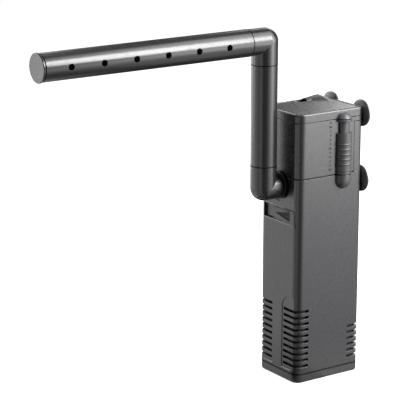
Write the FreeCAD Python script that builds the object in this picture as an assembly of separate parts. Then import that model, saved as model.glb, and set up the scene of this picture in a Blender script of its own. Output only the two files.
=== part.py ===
import FreeCAD, Part
import math
import os
from FreeCAD import Vector

os.makedirs("parts", exist_ok=True)

# Submersible canister filter with a swivelling spray bar, in millimetres.
# The origin is the middle of the foot. The front, with the outlet, faces -Y, and +Z is up.

# Body
BODY_WIDTH = 60.6
BODY_DEPTH = 76.0
BODY_HEIGHT = 264.0
CORNER_RADIUS = 8.0
BACK_CORNER_RADIUS = 5.0
WALL = 2.2
BASE_HEIGHT = 9.0
HEAD_HEIGHT = 62.0
COVER_HEIGHT = 8.6
SPINE_DROP = 4.9
SPINE_DEPTH = 10.5
SEAM = 0.6
HEAD_GAP = 1.2
SEAL_SETBACK = 0.8
BASE_FLOOR = 2.4
BASE_EDGE = 2.0
COVER_ROOF = 2.4
COVER_EDGE = 1.7
PANEL_INSET = 3.2
PANEL_DROP = 0.4
INNER_WALL = 1.5
LIP_DEPTH = 2.5
SKIRT_DEPTH = 5.0
FIT = 0.1
SLACK = 0.3

# Intake slots and the shallow pockets round them
SLOT_HEIGHT = 2.8
SLOT_PITCH = 6.1
FIRST_SLOT_Z = 16.9
FRONT_SLOTS = 10
BACK_SLOTS = 6
SLOT_REACH_FRONT = 21.2
SLOT_REACH_SIDE = 14.6
SLOT_REACH_BACK = 14.6
POCKET_DEPTH = 0.5
POCKET_MARGIN = 2.2
POCKET_FOOT_Z = 12.2
POCKET_RISE = 12.0

# Flow window and its slider
WINDOW_HALF = 23.2
WINDOW_HEIGHT = 13.9
WINDOW_BELOW_SEAM = 31.6
WINDOW_DEPTH = 2.6
WINDOW_FLOOR = 1.6
RAIL_LIP = 1.2
RAIL_REACH = 1.0
SLIDER_PLAY = 1.9
SLIDER_SUNK = 0.5
SLIDER_GRIP = 5.4
FLOW_TRAVEL = 13.5
FLOW_HOLE_LENGTH = 10.0
FLOW_HOLE_MARGIN = 2.5
ARROW_DEPTH = 1.2
ARROW_MARGIN = 2.2

# Latches on both sides
LATCH_Y = 14.5
LATCH_RADIUS = 8.7
LATCH_INSET = 1.3
COLUMN_CLEARANCE = 0.4
CLIP_WALL = 1.9
CLIP_TRAVEL = 9.0
CLIP_FOOT = 2.9
CLIP_STOP_GAP = 2.2
CLIP_RIBS = 5
CLIP_RIB_PITCH = 4.8
CLIP_RIB_RISE = 0.6
CLIP_RIB_HALF = 0.9
CLIP_FIRST_RIB = 7.0
CATCH_HEIGHT = 6.0
RUNNER_DEPTH = 1.4
RUNNER_WALL = 1.1
TONGUE_WALL = 0.8
TONGUE_HALF = 5.2
TONGUE_REACH = 7.0
DOME_DROP = 2.6

# Pump
CHAMBER_RADIUS = 25.0
CHAMBER_WALL = 2.5
CHAMBER_HEIGHT = 23.0
FLOOR_THICKNESS = 3.0
FLOOR_LIFT = 1.5
WELL_RADIUS = 14.0
WELL_WALL = 1.2
WELL_HEIGHT = 41.5
SHAFT_RADIUS = 1.5
SHAFT_FIT = 0.08
BUSH_RADIUS = 3.2
BUSH_LENGTH = 4.6
MAGNET_RADIUS = 12.6
MAGNET_LENGTH = 28.0
MAGNET_LIFT = 0.8
IMPELLER_RADIUS = 19.5
IMPELLER_HEIGHT = 10.0
IMPELLER_BLADES = 7
BLADE_WALL = 1.4
BLADE_COURSE = [(4.0, 0.0), (12.0, 20.0), (19.3, 50.0)]
IMPELLER_HUB = 4.6
IMPELLER_STEM = 6.0
IMPELLER_DISC = 1.4
INLET_RADIUS = 7.1
INLET_WALL = 1.4
INLET_LENGTH = 9.0
INTAKE_RADIUS = 9.0
INTAKE_WALL = 1.5
INTAKE_ROWS = 5
INTAKE_WINDOW = 18.0
INTAKE_BRIDGE = 7.0
INTAKE_WINDOW_WIDTH = 4.0
CORE_HEIGHT = 24.0
CORE_LEG = 7.6
CORE_LIFT = 7.0
CORE_FRONT = 11.0
COIL_FROM_WELL = 1.4
MOTOR_GAP = 0.4
COIL_WALL = 1.1
COIL_DEPTH = 4.2
RESIN_DEPTH = 41.0
RESIN_GAP = 0.02
PLATE_THICKNESS = 2.4
HUB_WALL = 1.4
ARM_HEIGHT = 3.0

# Outlet, elbows, riser and bar
OUTLET_DROP = 10.0
SPIGOT_RADIUS = 10.5
SPIGOT_WALL = 2.6
SPIGOT_LENGTH = 10.0
COLLAR_RADIUS = 13.4
COLLAR_THICKNESS = 2.0
COUNTERBORE_RADIUS = 15.9
COUNTERBORE_DEPTH = 1.0
NOTCH_CLEARANCE = 1.0
RISER_STAND_OFF = 18.3
PIPE_RADIUS = 12.5
PIPE_BORE = 9.4
SOCKET_RADIUS = 10.9
SOCKET_DEPTH = 10.0
TURN_FIT = 0.08
ELBOW_LEG = 21.7
RISER_RADIUS = 12.4
BAR_DROP = 139.3
BAR_LEG = 20.4
BAR_RADIUS = 12.8
BAR_BORE = 11.0
BAR_SHOULDER = 5.0
BAR_END_Y = -292.8
BAR_HOLES = 6
BAR_HOLE_RADIUS = 3.0
BAR_HOLE_PITCH = 32.9
FIRST_HOLE_FROM_END = 24.2
CAP_FLANGE_RADIUS = 13.4
CAP_FLANGE_THICKNESS = 1.7
CAP_NECK = 1.2
CAP_NECK_RADIUS = 11.7
CAP_PLUG_LENGTH = 9.0
CAP_EDGE = 0.5
RING_WIRE = 0.8
RING_FROM_COLLAR = 4.0
RING_FIT = 0.02

# Cable hood on the top cover
HOOD_X = -24.5
HOOD_FRONT_Y = 9.0
HOOD_BACK_Y = 25.5
HOOD_RADIUS = 6.3
HOOD_RISE_FRONT = 0.7
HOOD_RISE_BACK = 3.6
GLAND_RADIUS = 4.4
GLAND_BORE = 3.4
GLAND_DROP = 2.4
GLAND_LENGTH = 10.0
GLAND_TILT = 24.0
GLAND_BLOCK_HALF = 6.0

# Suction cups
CUP_RADIUS = 13.0
CUP_X = 23.0
CUP_STAND_OFF = 3.8
CUP_ABOVE_COVER_SEAM = 0.8
LOWER_CUP_DROP = 9.6
NECK_RADIUS = 3.0
HEAD_RADIUS = 4.0
HEAD_THICKNESS = 1.6
CUP_HUB_WALL = 1.6
CUP_LAND = 1.2
CUP_LIP = 1.0

# Sponge
SPONGE_TOP_GAP = 6.0

# Places worked out from the values above
HALF_W = BODY_WIDTH / 2
HALF_D = BODY_DEPTH / 2
HEAD_SEAM_Z = BODY_HEIGHT - HEAD_HEIGHT
COVER_SEAM_Z = BODY_HEIGHT - COVER_HEIGHT
SPINE_TOP_Z = COVER_SEAM_Z - SPINE_DROP
SPINE_FRONT_Y = HALF_D - SPINE_DEPTH
HEAD_BACK_Y = SPINE_FRONT_Y - SLACK
YOKE_Y = HEAD_BACK_Y - WALL - MOTOR_GAP - COIL_DEPTH - CORE_LEG
PUMP_Y = YOKE_Y - COIL_DEPTH - COIL_FROM_WELL - WELL_RADIUS - WELL_WALL
CANISTER_TOP_Z = HEAD_SEAM_Z - HEAD_GAP / 2
HEAD_FOOT_Z = HEAD_SEAM_Z + HEAD_GAP / 2
FLOOR_Z = HEAD_SEAM_Z + FLOOR_LIFT
FLOOR_TOP_Z = FLOOR_Z + FLOOR_THICKNESS
CHAMBER_FOOT_Z = FLOOR_Z - CHAMBER_HEIGHT
WELL_TOP_Z = FLOOR_Z + WELL_HEIGHT
OUTLET_Z = HEAD_SEAM_Z - OUTLET_DROP
RISER_Y = -HALF_D - RISER_STAND_OFF
BAR_Z = OUTLET_Z + BAR_DROP
BAR_START_Y = RISER_Y - BAR_LEG
WINDOW_Z = HEAD_SEAM_Z - WINDOW_BELOW_SEAM - WINDOW_HEIGHT / 2
LATCH_X = HALF_W - LATCH_INSET
CLIP_INNER = LATCH_RADIUS - CLIP_WALL
COLUMN_RADIUS = CLIP_INNER - COLUMN_CLEARANCE
CLIP_Z = HEAD_SEAM_Z + CLIP_FOOT
CATCH_Z = HEAD_SEAM_Z - CATCH_HEIGHT
TONGUE_Z = CANISTER_TOP_Z - TONGUE_REACH
DOME_Z = COVER_SEAM_Z - DOME_DROP
CLIP_LENGTH = DOME_Z - CLIP_STOP_GAP - CLIP_TRAVEL - CLIP_Z
MAGNET_Z = FLOOR_TOP_Z + MAGNET_LIFT
IMPELLER_Z = OUTLET_Z - IMPELLER_HEIGHT / 2
BUSH_TOP_Z = WELL_TOP_Z - INNER_WALL
CORE_Z = FLOOR_TOP_Z + CORE_LIFT
LOWER_BUSH_Z = CHAMBER_FOOT_Z - BUSH_LENGTH
SLIDER_RIGHT = WINDOW_HALF - 2 * SLACK
SLIDER_LENGTH = 2 * WINDOW_HALF - FLOW_TRAVEL - SLIDER_PLAY
CUP_RIM_Y = HALF_D + CUP_STAND_OFF
UPPER_CUP_Z = COVER_SEAM_Z + CUP_ABOVE_COVER_SEAM
LOWER_CUP_Z = HEAD_SEAM_Z - LOWER_CUP_DROP
CAP_TOP_Z = BASE_HEIGHT - SEAM / 2
SKIRT_TOP_Z = FIRST_SLOT_Z - SLOT_HEIGHT / 2 - 1.0
UP = Vector(0, 0, 1)
FORWARD = Vector(0, -1, 0)
RIGHT = Vector(1, 0, 0)
CABLE_WAY = Vector(0, -math.cos(math.radians(GLAND_TILT)), math.sin(math.radians(GLAND_TILT)))
GLAND_MOUTH = Vector(HOOD_X, HOOD_FRONT_Y, BODY_HEIGHT - GLAND_DROP)


def box(x0, x1, y0, y1, z0, z1):
    """A box between two corners, given in any order."""
    x0, x1 = min(x0, x1), max(x0, x1)
    y0, y1 = min(y0, y1), max(y0, y1)
    return Part.makeBox(x1 - x0, y1 - y0, z1 - z0, Vector(x0, y0, z0))


def rod(radius, length, start, along):
    """A cylinder from a start point."""
    return Part.makeCylinder(radius, length, start, along)


def tube(radius, bore, length, start, along):
    """A cylinder with a bore right through."""
    return rod(radius, length, start, along).cut(rod(bore, length, start, along))


def body_prism(z0, z1, inset=0.0):
    """The body's outline, drawn in by inset. Its back corners are tighter than its front ones."""
    half_w, half_d = HALF_W - inset, HALF_D - inset
    block = box(-half_w, half_w, -half_d, half_d, z0, z1)
    for end, radius in ((-1, CORNER_RADIUS - inset), (1, BACK_CORNER_RADIUS - inset)):
        uprights = [e for e in block.Edges
                    if abs(e.tangentAt(e.FirstParameter).z) > 0.99 and end * e.CenterOfMass.y > 0]
        block = block.makeFillet(radius, uprights)
    return block


def head_prism(z0, z1, inset=0.0):
    """The body's outline in front of the spine, drawn in by inset."""
    front = box(-HALF_W, HALF_W, -HALF_D, HEAD_BACK_Y - inset, z0, z1)
    return body_prism(z0, z1, inset).common(front)


def revolve(points, axis_point, along):
    """A closed outline of (radius, height) points turned about an axis."""
    across = Vector(1, 0, 0) if abs(along.x) < 0.5 else Vector(0, 1, 0)
    places = [axis_point + across * r + along * h for r, h in points]
    face = Part.Face(Part.makePolygon(places + [places[0]]))
    solid = face.revolve(axis_point, along, 360)
    return Part.Solid(solid.Shells[0]) if solid.ShapeType != "Solid" else solid


def outward(side, z0, z1, start=None):
    """All that lies outside a side face, for trimming what is added there."""
    start = HALF_W - WALL / 2 if start is None else start
    return box(side * start, side * (HALF_W + 40), -HALF_D, HALF_D, z0, z1)


def latch_axis(side, z):
    return Vector(side * LATCH_X, LATCH_Y, z)


def latch_slot(side, z0, z1):
    """The curved slot that a latch tongue runs in, a little larger than the tongue."""
    centre = latch_axis(side, z0)
    band = tube(CLIP_INNER + TONGUE_WALL + SLACK, CLIP_INNER - SLACK, z1 - z0, centre, UP)
    half = TONGUE_HALF + SLACK
    return band.common(box(side * (HALF_W + 2), side * (HALF_W + 20), LATCH_Y - half, LATCH_Y + half, z0, z1))


def corner_slot(side, end, reach, side_reach, z):
    """One slot round a vertical corner, cut square at both ends."""
    half = SLOT_HEIGHT / 2
    return box(side * (HALF_W - reach), side * (HALF_W + 1),
               end * (HALF_D - side_reach), end * (HALF_D + 1), z - half, z + half)


def intake_slots():
    """Both groups of slots, ten at each front corner and six at each back corner."""
    cuts = []
    for side in (-1, 1):
        for n in range(FRONT_SLOTS):
            z = FIRST_SLOT_Z + n * SLOT_PITCH
            cuts.append(corner_slot(side, -1, SLOT_REACH_FRONT, SLOT_REACH_SIDE, z))
        for n in range(BACK_SLOTS):
            z = FIRST_SLOT_Z + n * SLOT_PITCH
            cuts.append(corner_slot(side, 1, SLOT_REACH_BACK, SLOT_REACH_BACK, z))
    return cuts


def slot_pocket(side):
    """The shallow pocket in the front face round one group of slots, arched at its inner top corner."""
    inner = side * (HALF_W - SLOT_REACH_FRONT - POCKET_MARGIN)
    outer = side * (HALF_W + 1)
    top = FIRST_SLOT_Z + (FRONT_SLOTS - 1) * SLOT_PITCH + SLOT_HEIGHT / 2 + POCKET_RISE
    y = -HALF_D - 1
    turn = inner + side * POCKET_RISE
    diagonal = POCKET_RISE * math.sin(math.radians(45))
    foot_in = Vector(inner, y, POCKET_FOOT_Z)
    spring = Vector(inner, y, top - POCKET_RISE)
    crown = Vector(turn, y, top)
    middle = Vector(turn - side * diagonal, y, top - POCKET_RISE + diagonal)
    top_out = Vector(outer, y, top)
    foot_out = Vector(outer, y, POCKET_FOOT_Z)
    edges = [
        Part.LineSegment(foot_in, spring).toShape(),
        Part.Arc(spring, middle, crown).toShape(),
        Part.LineSegment(crown, top_out).toShape(),
        Part.LineSegment(top_out, foot_out).toShape(),
        Part.LineSegment(foot_out, foot_in).toShape(),
    ]
    return Part.Face(Part.Wire(edges)).extrude(Vector(0, 1 + POCKET_DEPTH, 0))


def window_cuts():
    """The slider's recess with its undercut rails, and the flow hole behind the slider."""
    half = WINDOW_HEIGHT / 2
    back = -HALF_D + WINDOW_DEPTH
    recess = box(-WINDOW_HALF, WINDOW_HALF, -HALF_D - 1, back, WINDOW_Z - half, WINDOW_Z + half)
    rails = box(-WINDOW_HALF, WINDOW_HALF, -HALF_D + RAIL_LIP, back,
                WINDOW_Z - half - RAIL_REACH, WINDOW_Z + half + RAIL_REACH)
    right = SLIDER_RIGHT - INNER_WALL
    hole_half = half - FLOW_HOLE_MARGIN
    hole = box(right - FLOW_HOLE_LENGTH, right, back - 1, back + WINDOW_FLOOR + 1,
               WINDOW_Z - hole_half, WINDOW_Z + hole_half)
    return [recess, rails, hole]


def catch_boss(side):
    """The half-round catch under a latch: it ends in a half dome, and takes the latch's tongue."""
    column = rod(LATCH_RADIUS, CANISTER_TOP_Z - CATCH_Z, latch_axis(side, CATCH_Z), UP)
    dome = Part.makeSphere(LATCH_RADIUS, latch_axis(side, CATCH_Z))
    boss = column.fuse(dome).common(outward(side, CATCH_Z - 2 * LATCH_RADIUS, CANISTER_TOP_Z))
    return boss.cut(latch_slot(side, TONGUE_Z - SLACK, CANISTER_TOP_Z + 1))


def cup_socket(x):
    """The blind boss inside the back wall that holds a lower suction cup."""
    depth = HEAD_THICKNESS + 2 * SLACK + INNER_WALL
    start = Vector(x, HALF_D - WALL - depth, LOWER_CUP_Z)
    return rod(HEAD_RADIUS + SLACK + INNER_WALL, depth, start, Vector(0, 1, 0))


def cup_socket_cut(x, z, wall=WALL):
    """The hole for a cup's neck and the wider space for its head."""
    neck = rod(NECK_RADIUS + FIT, wall + 1, Vector(x, HALF_D + 1, z), FORWARD)
    head = rod(HEAD_RADIUS + SLACK, HEAD_THICKNESS + 2 * SLACK, Vector(x, HALF_D - wall, z), FORWARD)
    return neck.fuse(head)


def canister_shell():
    """The slotted canister, whose back carries on up as a spine behind the pump head."""
    walls = body_prism(BASE_HEIGHT + SEAM / 2, CANISTER_TOP_Z)
    behind = box(-HALF_W, HALF_W, SPINE_FRONT_Y, HALF_D, CANISTER_TOP_Z - 1, SPINE_TOP_Z)
    spine = body_prism(CANISTER_TOP_Z - 1, SPINE_TOP_Z).common(behind)
    shell = walls.fuse(spine)
    cavity = body_prism(0, CANISTER_TOP_Z + 1, WALL)
    channel = body_prism(CANISTER_TOP_Z - 1, SPINE_TOP_Z - WALL, WALL)
    channel = channel.common(box(-HALF_W, HALF_W, SPINE_FRONT_Y - 1, HALF_D, 0, SPINE_TOP_Z))
    shell = shell.cut([cavity, channel])
    pad_half = WINDOW_HEIGHT / 2 + RAIL_REACH + WINDOW_FLOOR
    pad = box(-WINDOW_HALF - WINDOW_FLOOR, WINDOW_HALF + WINDOW_FLOOR, -HALF_D + WALL / 2,
              -HALF_D + WINDOW_DEPTH + WINDOW_FLOOR, WINDOW_Z - pad_half, WINDOW_Z + pad_half)
    pad = pad.common(body_prism(0, HEAD_SEAM_Z, WALL / 2))
    shell = shell.fuse([pad, catch_boss(-1), catch_boss(1), cup_socket(-CUP_X), cup_socket(CUP_X)])
    notch_half = SPIGOT_RADIUS + NOTCH_CLEARANCE
    outlet = Vector(0, -HALF_D - 1, OUTLET_Z)
    notch = rod(notch_half, WALL + 2, outlet, Vector(0, 1, 0))
    above = box(-notch_half, notch_half, -HALF_D - 1, -HALF_D + WALL + 1, OUTLET_Z, CANISTER_TOP_Z + 1)
    notch = notch.fuse(above)
    ring = rod(COUNTERBORE_RADIUS, 1 + COUNTERBORE_DEPTH, outlet, Vector(0, 1, 0))
    cuts = [notch, ring, slot_pocket(-1), slot_pocket(1)] + intake_slots() + window_cuts()
    cuts += [cup_socket_cut(-CUP_X, LOWER_CUP_Z), cup_socket_cut(CUP_X, LOWER_CUP_Z)]
    return shell.cut(cuts)


def base_cap():
    """The foot: a shallow tray with a rounded lower edge and a skirt inside the canister."""
    tray = body_prism(0, CAP_TOP_Z)
    low = [e for e in tray.Edges if e.BoundBox.ZMax < 0.01]
    tray = tray.makeFillet(BASE_EDGE, low)
    skirt = body_prism(BASE_FLOOR, SKIRT_TOP_Z, WALL + FIT)
    cavity = body_prism(BASE_FLOOR, SKIRT_TOP_Z + 1, WALL + FIT + INNER_WALL)
    bore = INTAKE_RADIUS + FIT
    seat = tube(bore + INNER_WALL, bore, CAP_TOP_Z - BASE_FLOOR, Vector(0, PUMP_Y, BASE_FLOOR), UP)
    return tray.fuse(skirt).cut(cavity).fuse(seat)


def intake_tube():
    """The slotted tube up the middle of the sponge, from the foot to the pump's inlet."""
    top = CHAMBER_FOOT_Z - PLATE_THICKNESS - SLACK
    foot = Vector(0, PUMP_Y, BASE_FLOOR)
    pipe = tube(INTAKE_RADIUS, INTAKE_RADIUS - INTAKE_WALL, top - BASE_FLOOR, foot, UP)
    half, reach = INTAKE_WINDOW_WIDTH / 2, INTAKE_RADIUS + 1
    windows = []
    for row in range(INTAKE_ROWS):
        z = SKIRT_TOP_Z + INTAKE_BRIDGE + row * (INTAKE_WINDOW + INTAKE_BRIDGE)
        windows.append(box(-reach, reach, PUMP_Y - half, PUMP_Y + half, z, z + INTAKE_WINDOW))
        windows.append(box(-half, half, PUMP_Y - reach, PUMP_Y + reach, z, z + INTAKE_WINDOW))
    return pipe.cut(windows)


def filter_sponge():
    """The sponge block, plain and closed, with a bore for the intake tube."""
    foot = SKIRT_TOP_Z + SLACK
    top = WINDOW_Z - WINDOW_HEIGHT / 2 - RAIL_REACH - WINDOW_FLOOR - SPONGE_TOP_GAP
    block = body_prism(foot, top, WALL + 2 * SLACK)
    return block.cut(rod(INTAKE_RADIUS + SLACK, top - foot + 2, Vector(0, PUMP_Y, foot - 1), UP))


def flow_slider():
    """The flow plate: flanges in the rails, an arrow sunk in its face and a raised grip at its right end."""
    half = WINDOW_HEIGHT / 2
    right = SLIDER_RIGHT
    left = right - SLIDER_LENGTH
    front = -HALF_D + SLACK
    back = -HALF_D + WINDOW_DEPTH - SLACK
    low_front = front + SLIDER_SUNK
    face = box(left, right, low_front, back, WINDOW_Z - half + SLACK, WINDOW_Z + half - SLACK)
    reach = half + RAIL_REACH - SLACK
    flange = box(left, right, -HALF_D + RAIL_LIP + SLACK, back, WINDOW_Z - reach, WINDOW_Z + reach)
    grip = box(right - SLIDER_GRIP, right, front, back, WINDOW_Z - half + SLACK, WINDOW_Z + half - SLACK)
    plate = face.fuse([flange, grip])
    base_x = right - SLIDER_GRIP - SLACK
    arrow_half = half - ARROW_MARGIN
    tip = Vector(left + ARROW_MARGIN, front, WINDOW_Z)
    low = Vector(base_x, front, WINDOW_Z - arrow_half)
    high = Vector(base_x, front, WINDOW_Z + arrow_half)
    arrow = Part.Face(Part.makePolygon([tip, low, high, tip])).extrude(Vector(0, ARROW_DEPTH, 0))
    return plate.cut(arrow)


def suction_cup(x, z):
    """A domed rubber dish on a short neck with a mushroom head that its socket holds."""
    rim, root = CUP_RADIUS, CUP_STAND_OFF - SLACK
    hollow, crown = rim - CUP_LAND, root - CUP_HUB_WALL
    head = CUP_STAND_OFF + WALL + SLACK
    turns = [math.radians(a) for a in (20, 40, 60)]
    inside = [(hollow * math.cos(a), crown * math.sin(a)) for a in reversed(turns)]
    outside = [(rim * math.cos(a), CUP_LIP + (root - CUP_LIP) * math.sin(a)) for a in turns]
    outline = [(0, crown)] + inside + [(hollow, 0), (rim, 0), (rim, CUP_LIP)] + outside
    outline += [(NECK_RADIUS + CUP_HUB_WALL, root), (NECK_RADIUS, root), (NECK_RADIUS, head),
                (HEAD_RADIUS, head), (0, head + HEAD_THICKNESS)]
    return revolve(outline, Vector(x, CUP_RIM_Y, z), FORWARD)


def head_housing():
    """The pump head: a box with the motor space, the rotor's well, the latch columns and a skirt."""
    band_z = SPINE_TOP_Z + SEAM
    top = COVER_SEAM_Z - SEAM / 2
    shell = head_prism(HEAD_FOOT_Z, top).fuse(body_prism(band_z, top))
    motor_space = head_prism(FLOOR_TOP_Z, top + 1, WALL)
    band_space = body_prism(band_z + INNER_WALL, top + 1, WALL)
    under = head_prism(HEAD_FOOT_Z - 1, FLOOR_Z, WALL)
    shell = shell.cut([motor_space, band_space, under])
    skirt_foot = CANISTER_TOP_Z - SKIRT_DEPTH
    skirt = head_prism(skirt_foot, FLOOR_Z, WALL + 2 * SLACK)
    skirt = skirt.cut(head_prism(skirt_foot, FLOOR_Z, WALL + 2 * SLACK + INNER_WALL))
    gap = SPIGOT_RADIUS + NOTCH_CLEARANCE + 1
    skirt = skirt.cut(box(-gap, gap, -HALF_D, -HALF_D + gap, skirt_foot, FLOOR_Z))
    well_foot = Vector(0, PUMP_Y, FLOOR_Z)
    well = rod(WELL_RADIUS + WELL_WALL, WELL_HEIGHT, well_foot, UP)
    shell = shell.fuse([skirt, well] + [latch_column(side) for side in (-1, 1)])
    bore = rod(WELL_RADIUS, BUSH_TOP_Z - FLOOR_Z, well_foot, UP)
    holder_foot = Vector(0, PUMP_Y, BUSH_TOP_Z - BUSH_LENGTH)
    holder = tube(BUSH_RADIUS + HUB_WALL, BUSH_RADIUS, BUSH_LENGTH, holder_foot, UP)
    bore = bore.cut(holder)
    ring = rod(COUNTERBORE_RADIUS, 1 + COUNTERBORE_DEPTH, Vector(0, -HALF_D - 1, OUTLET_Z), Vector(0, 1, 0))
    cuts = [bore, ring] + [cup_socket_cut(side * CUP_X, UPPER_CUP_Z) for side in (-1, 1)]
    return shell.cut(cuts)


def latch_column(side):
    """The half-round column that a latch slides on, with a foot and a rim as wide as the latch."""
    foot, top = HEAD_FOOT_Z, COVER_SEAM_Z - SEAM / 2
    column = rod(COLUMN_RADIUS, top - foot, latch_axis(side, foot), UP)
    wide_foot = rod(LATCH_RADIUS, CLIP_Z - SLACK - foot, latch_axis(side, foot), UP)
    rim = rod(LATCH_RADIUS, top - DOME_Z, latch_axis(side, DOME_Z), UP)
    column = column.fuse([wide_foot, rim]).common(outward(side, foot, top))
    grooves = []
    for hand in (-1, 1):
        edge = LATCH_Y + hand * (COLUMN_RADIUS - RUNNER_DEPTH)
        grooves.append(box(side * (HALF_W + SLACK), side * (HALF_W + 2 * SLACK + RUNNER_WALL),
                           edge, edge + hand * LATCH_RADIUS, CLIP_Z - SLACK, DOME_Z))
    return column.cut(grooves + [latch_slot(side, foot - 1, CLIP_Z)])


def latch_clip(side):
    """The sliding latch: a half-round shell with grip ribs, two runner lips and a tongue."""
    foot, top = CLIP_Z, CLIP_Z + CLIP_LENGTH
    centre = latch_axis(side, foot)
    shell = tube(LATCH_RADIUS, CLIP_INNER, CLIP_LENGTH, centre, UP)
    for n in range(CLIP_RIBS):
        z = foot + CLIP_FIRST_RIB + n * CLIP_RIB_PITCH
        buried = LATCH_RADIUS - CLIP_WALL / 2
        crest = LATCH_RADIUS + CLIP_RIB_RISE
        outline = [(buried, -CLIP_RIB_HALF), (LATCH_RADIUS, -CLIP_RIB_HALF), (crest, 0),
                   (LATCH_RADIUS, CLIP_RIB_HALF), (buried, CLIP_RIB_HALF)]
        shell = shell.fuse(revolve(outline, latch_axis(side, z), UP))
    shell = shell.common(outward(side, foot, top, HALF_W + SLACK))
    lips = []
    for hand in (-1, 1):
        inner = LATCH_Y + hand * (COLUMN_RADIUS - RUNNER_DEPTH + SLACK)
        outer = LATCH_Y + hand * (CLIP_INNER + CLIP_WALL / 2)
        lips.append(box(side * (HALF_W + 2 * SLACK), side * (HALF_W + SLACK + RUNNER_WALL),
                        inner, outer, foot, top))
    tongue = tube(CLIP_INNER + TONGUE_WALL, CLIP_INNER, foot + 1 - TONGUE_Z, latch_axis(side, TONGUE_Z), UP)
    tongue = tongue.common(box(side * (HALF_W + 2 + SLACK), side * (HALF_W + 20), LATCH_Y - TONGUE_HALF,
                               LATCH_Y + TONGUE_HALF, TONGUE_Z, foot + 1))
    return shell.fuse(lips + [tongue])


def top_cover():
    """The cover: a rounded edge, a panel set in, a half dome over each latch and the cable hood."""
    foot = COVER_SEAM_Z + SEAM / 2
    lid = body_prism(foot, BODY_HEIGHT)
    high = [e for e in lid.Edges if e.BoundBox.ZMin > BODY_HEIGHT - 0.01]
    lid = lid.makeFillet(COVER_EDGE, high)
    inside = body_prism(foot - 1, BODY_HEIGHT - COVER_ROOF, WALL)
    panel = body_prism(BODY_HEIGHT - PANEL_DROP, BODY_HEIGHT + 1, PANEL_INSET)
    lid = lid.cut([inside, panel])
    for side in (-1, 1):
        dome = Part.makeSphere(LATCH_RADIUS, latch_axis(side, DOME_Z))
        lid = lid.fuse(dome.common(outward(side, foot, BODY_HEIGHT)))
    lid = lid.fuse([cover_lip(), gland_block(), cable_hood()])
    bore = rod(GLAND_RADIUS, GLAND_LENGTH, GLAND_MOUTH, -CABLE_WAY)
    inlet = rod((GLAND_BORE + GLAND_RADIUS) / 2, 2 * GLAND_LENGTH, GLAND_MOUTH, -CABLE_WAY)
    channel = rod(GLAND_RADIUS, 2 * GLAND_LENGTH, GLAND_MOUTH, CABLE_WAY)
    cuts = [bore, inlet, channel] + [cup_socket_cut(side * CUP_X, UPPER_CUP_Z) for side in (-1, 1)]
    return lid.cut(cuts)


def cover_lip():
    """The rim under the cover that drops inside the head's walls, and the ledge that carries it."""
    foot, seat = COVER_SEAM_Z - LIP_DEPTH, COVER_SEAM_Z + SEAM / 2
    outer = WALL + 2 * FIT
    inner = outer + INNER_WALL
    lip = head_prism(foot, seat + 1, outer).cut(head_prism(foot, seat + 1, inner))
    ledge = body_prism(seat, seat + INNER_WALL, WALL / 2).cut(body_prism(seat, seat + INNER_WALL, inner))
    front = box(-HALF_W, HALF_W, -HALF_D, HEAD_BACK_Y - 2 * inner, foot, seat + INNER_WALL)
    return lip.fuse(ledge).common(front)


def gland_block():
    """The block under the hood that holds the gland. Its lower part clears the head's wall."""
    x0, x1 = HOOD_X - GLAND_BLOCK_HALF, HOOD_X + GLAND_BLOCK_HALF
    y0, y1 = HOOD_FRONT_Y - 2 * GLAND_RADIUS, HOOD_FRONT_Y + GLAND_LENGTH
    top, seat = BODY_HEIGHT - PANEL_DROP, COVER_SEAM_Z + SEAM / 2
    foot = GLAND_MOUTH.z - GLAND_LENGTH * math.sin(math.radians(GLAND_TILT)) - GLAND_RADIUS - INNER_WALL
    upper = box(x0, x1, y0, y1, seat, top).common(body_prism(seat, top, WALL / 2))
    lower = box(x0, x1, y0, y1, foot, top).common(body_prism(foot, top, WALL + 2 * FIT))
    return upper.fuse(lower)


def cable_hood():
    """A low hood that rises to the back over the cable's way in."""
    front = Vector(HOOD_X, HOOD_FRONT_Y - HOOD_RADIUS, BODY_HEIGHT + HOOD_RISE_FRONT - HOOD_RADIUS)
    back = Vector(HOOD_X, HOOD_BACK_Y, BODY_HEIGHT + HOOD_RISE_BACK - HOOD_RADIUS)
    along = back - front
    hood = rod(HOOD_RADIUS, along.Length, front, along).fuse(Part.makeSphere(HOOD_RADIUS, back))
    low, high = BODY_HEIGHT - COVER_ROOF / 2, BODY_HEIGHT + HOOD_RADIUS
    reach = 2 * HOOD_RADIUS
    return hood.common(box(HOOD_X - reach, HOOD_X + reach, HOOD_FRONT_Y, HALF_D - 1, low, high))


def cable_gland():
    """The rubber bush in the hood's mouth, tilted as the cable leaves it."""
    return tube(GLAND_RADIUS - FIT, GLAND_BORE, GLAND_LENGTH - FIT, GLAND_MOUTH, -CABLE_WAY)


def head_seal():
    """The flat seal between the canister's rim and the pump head, set back from the outer face."""
    half = HEAD_GAP / 2 - SLACK
    z0, z1 = HEAD_SEAM_Z - half, HEAD_SEAM_Z + half
    seal = head_prism(z0, z1, SEAL_SETBACK).cut(head_prism(z0, z1, WALL + SLACK))
    gap = COUNTERBORE_RADIUS
    return seal.cut(box(-gap, gap, -HALF_D, -HALF_D + CORNER_RADIUS, z0, z1))


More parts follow.
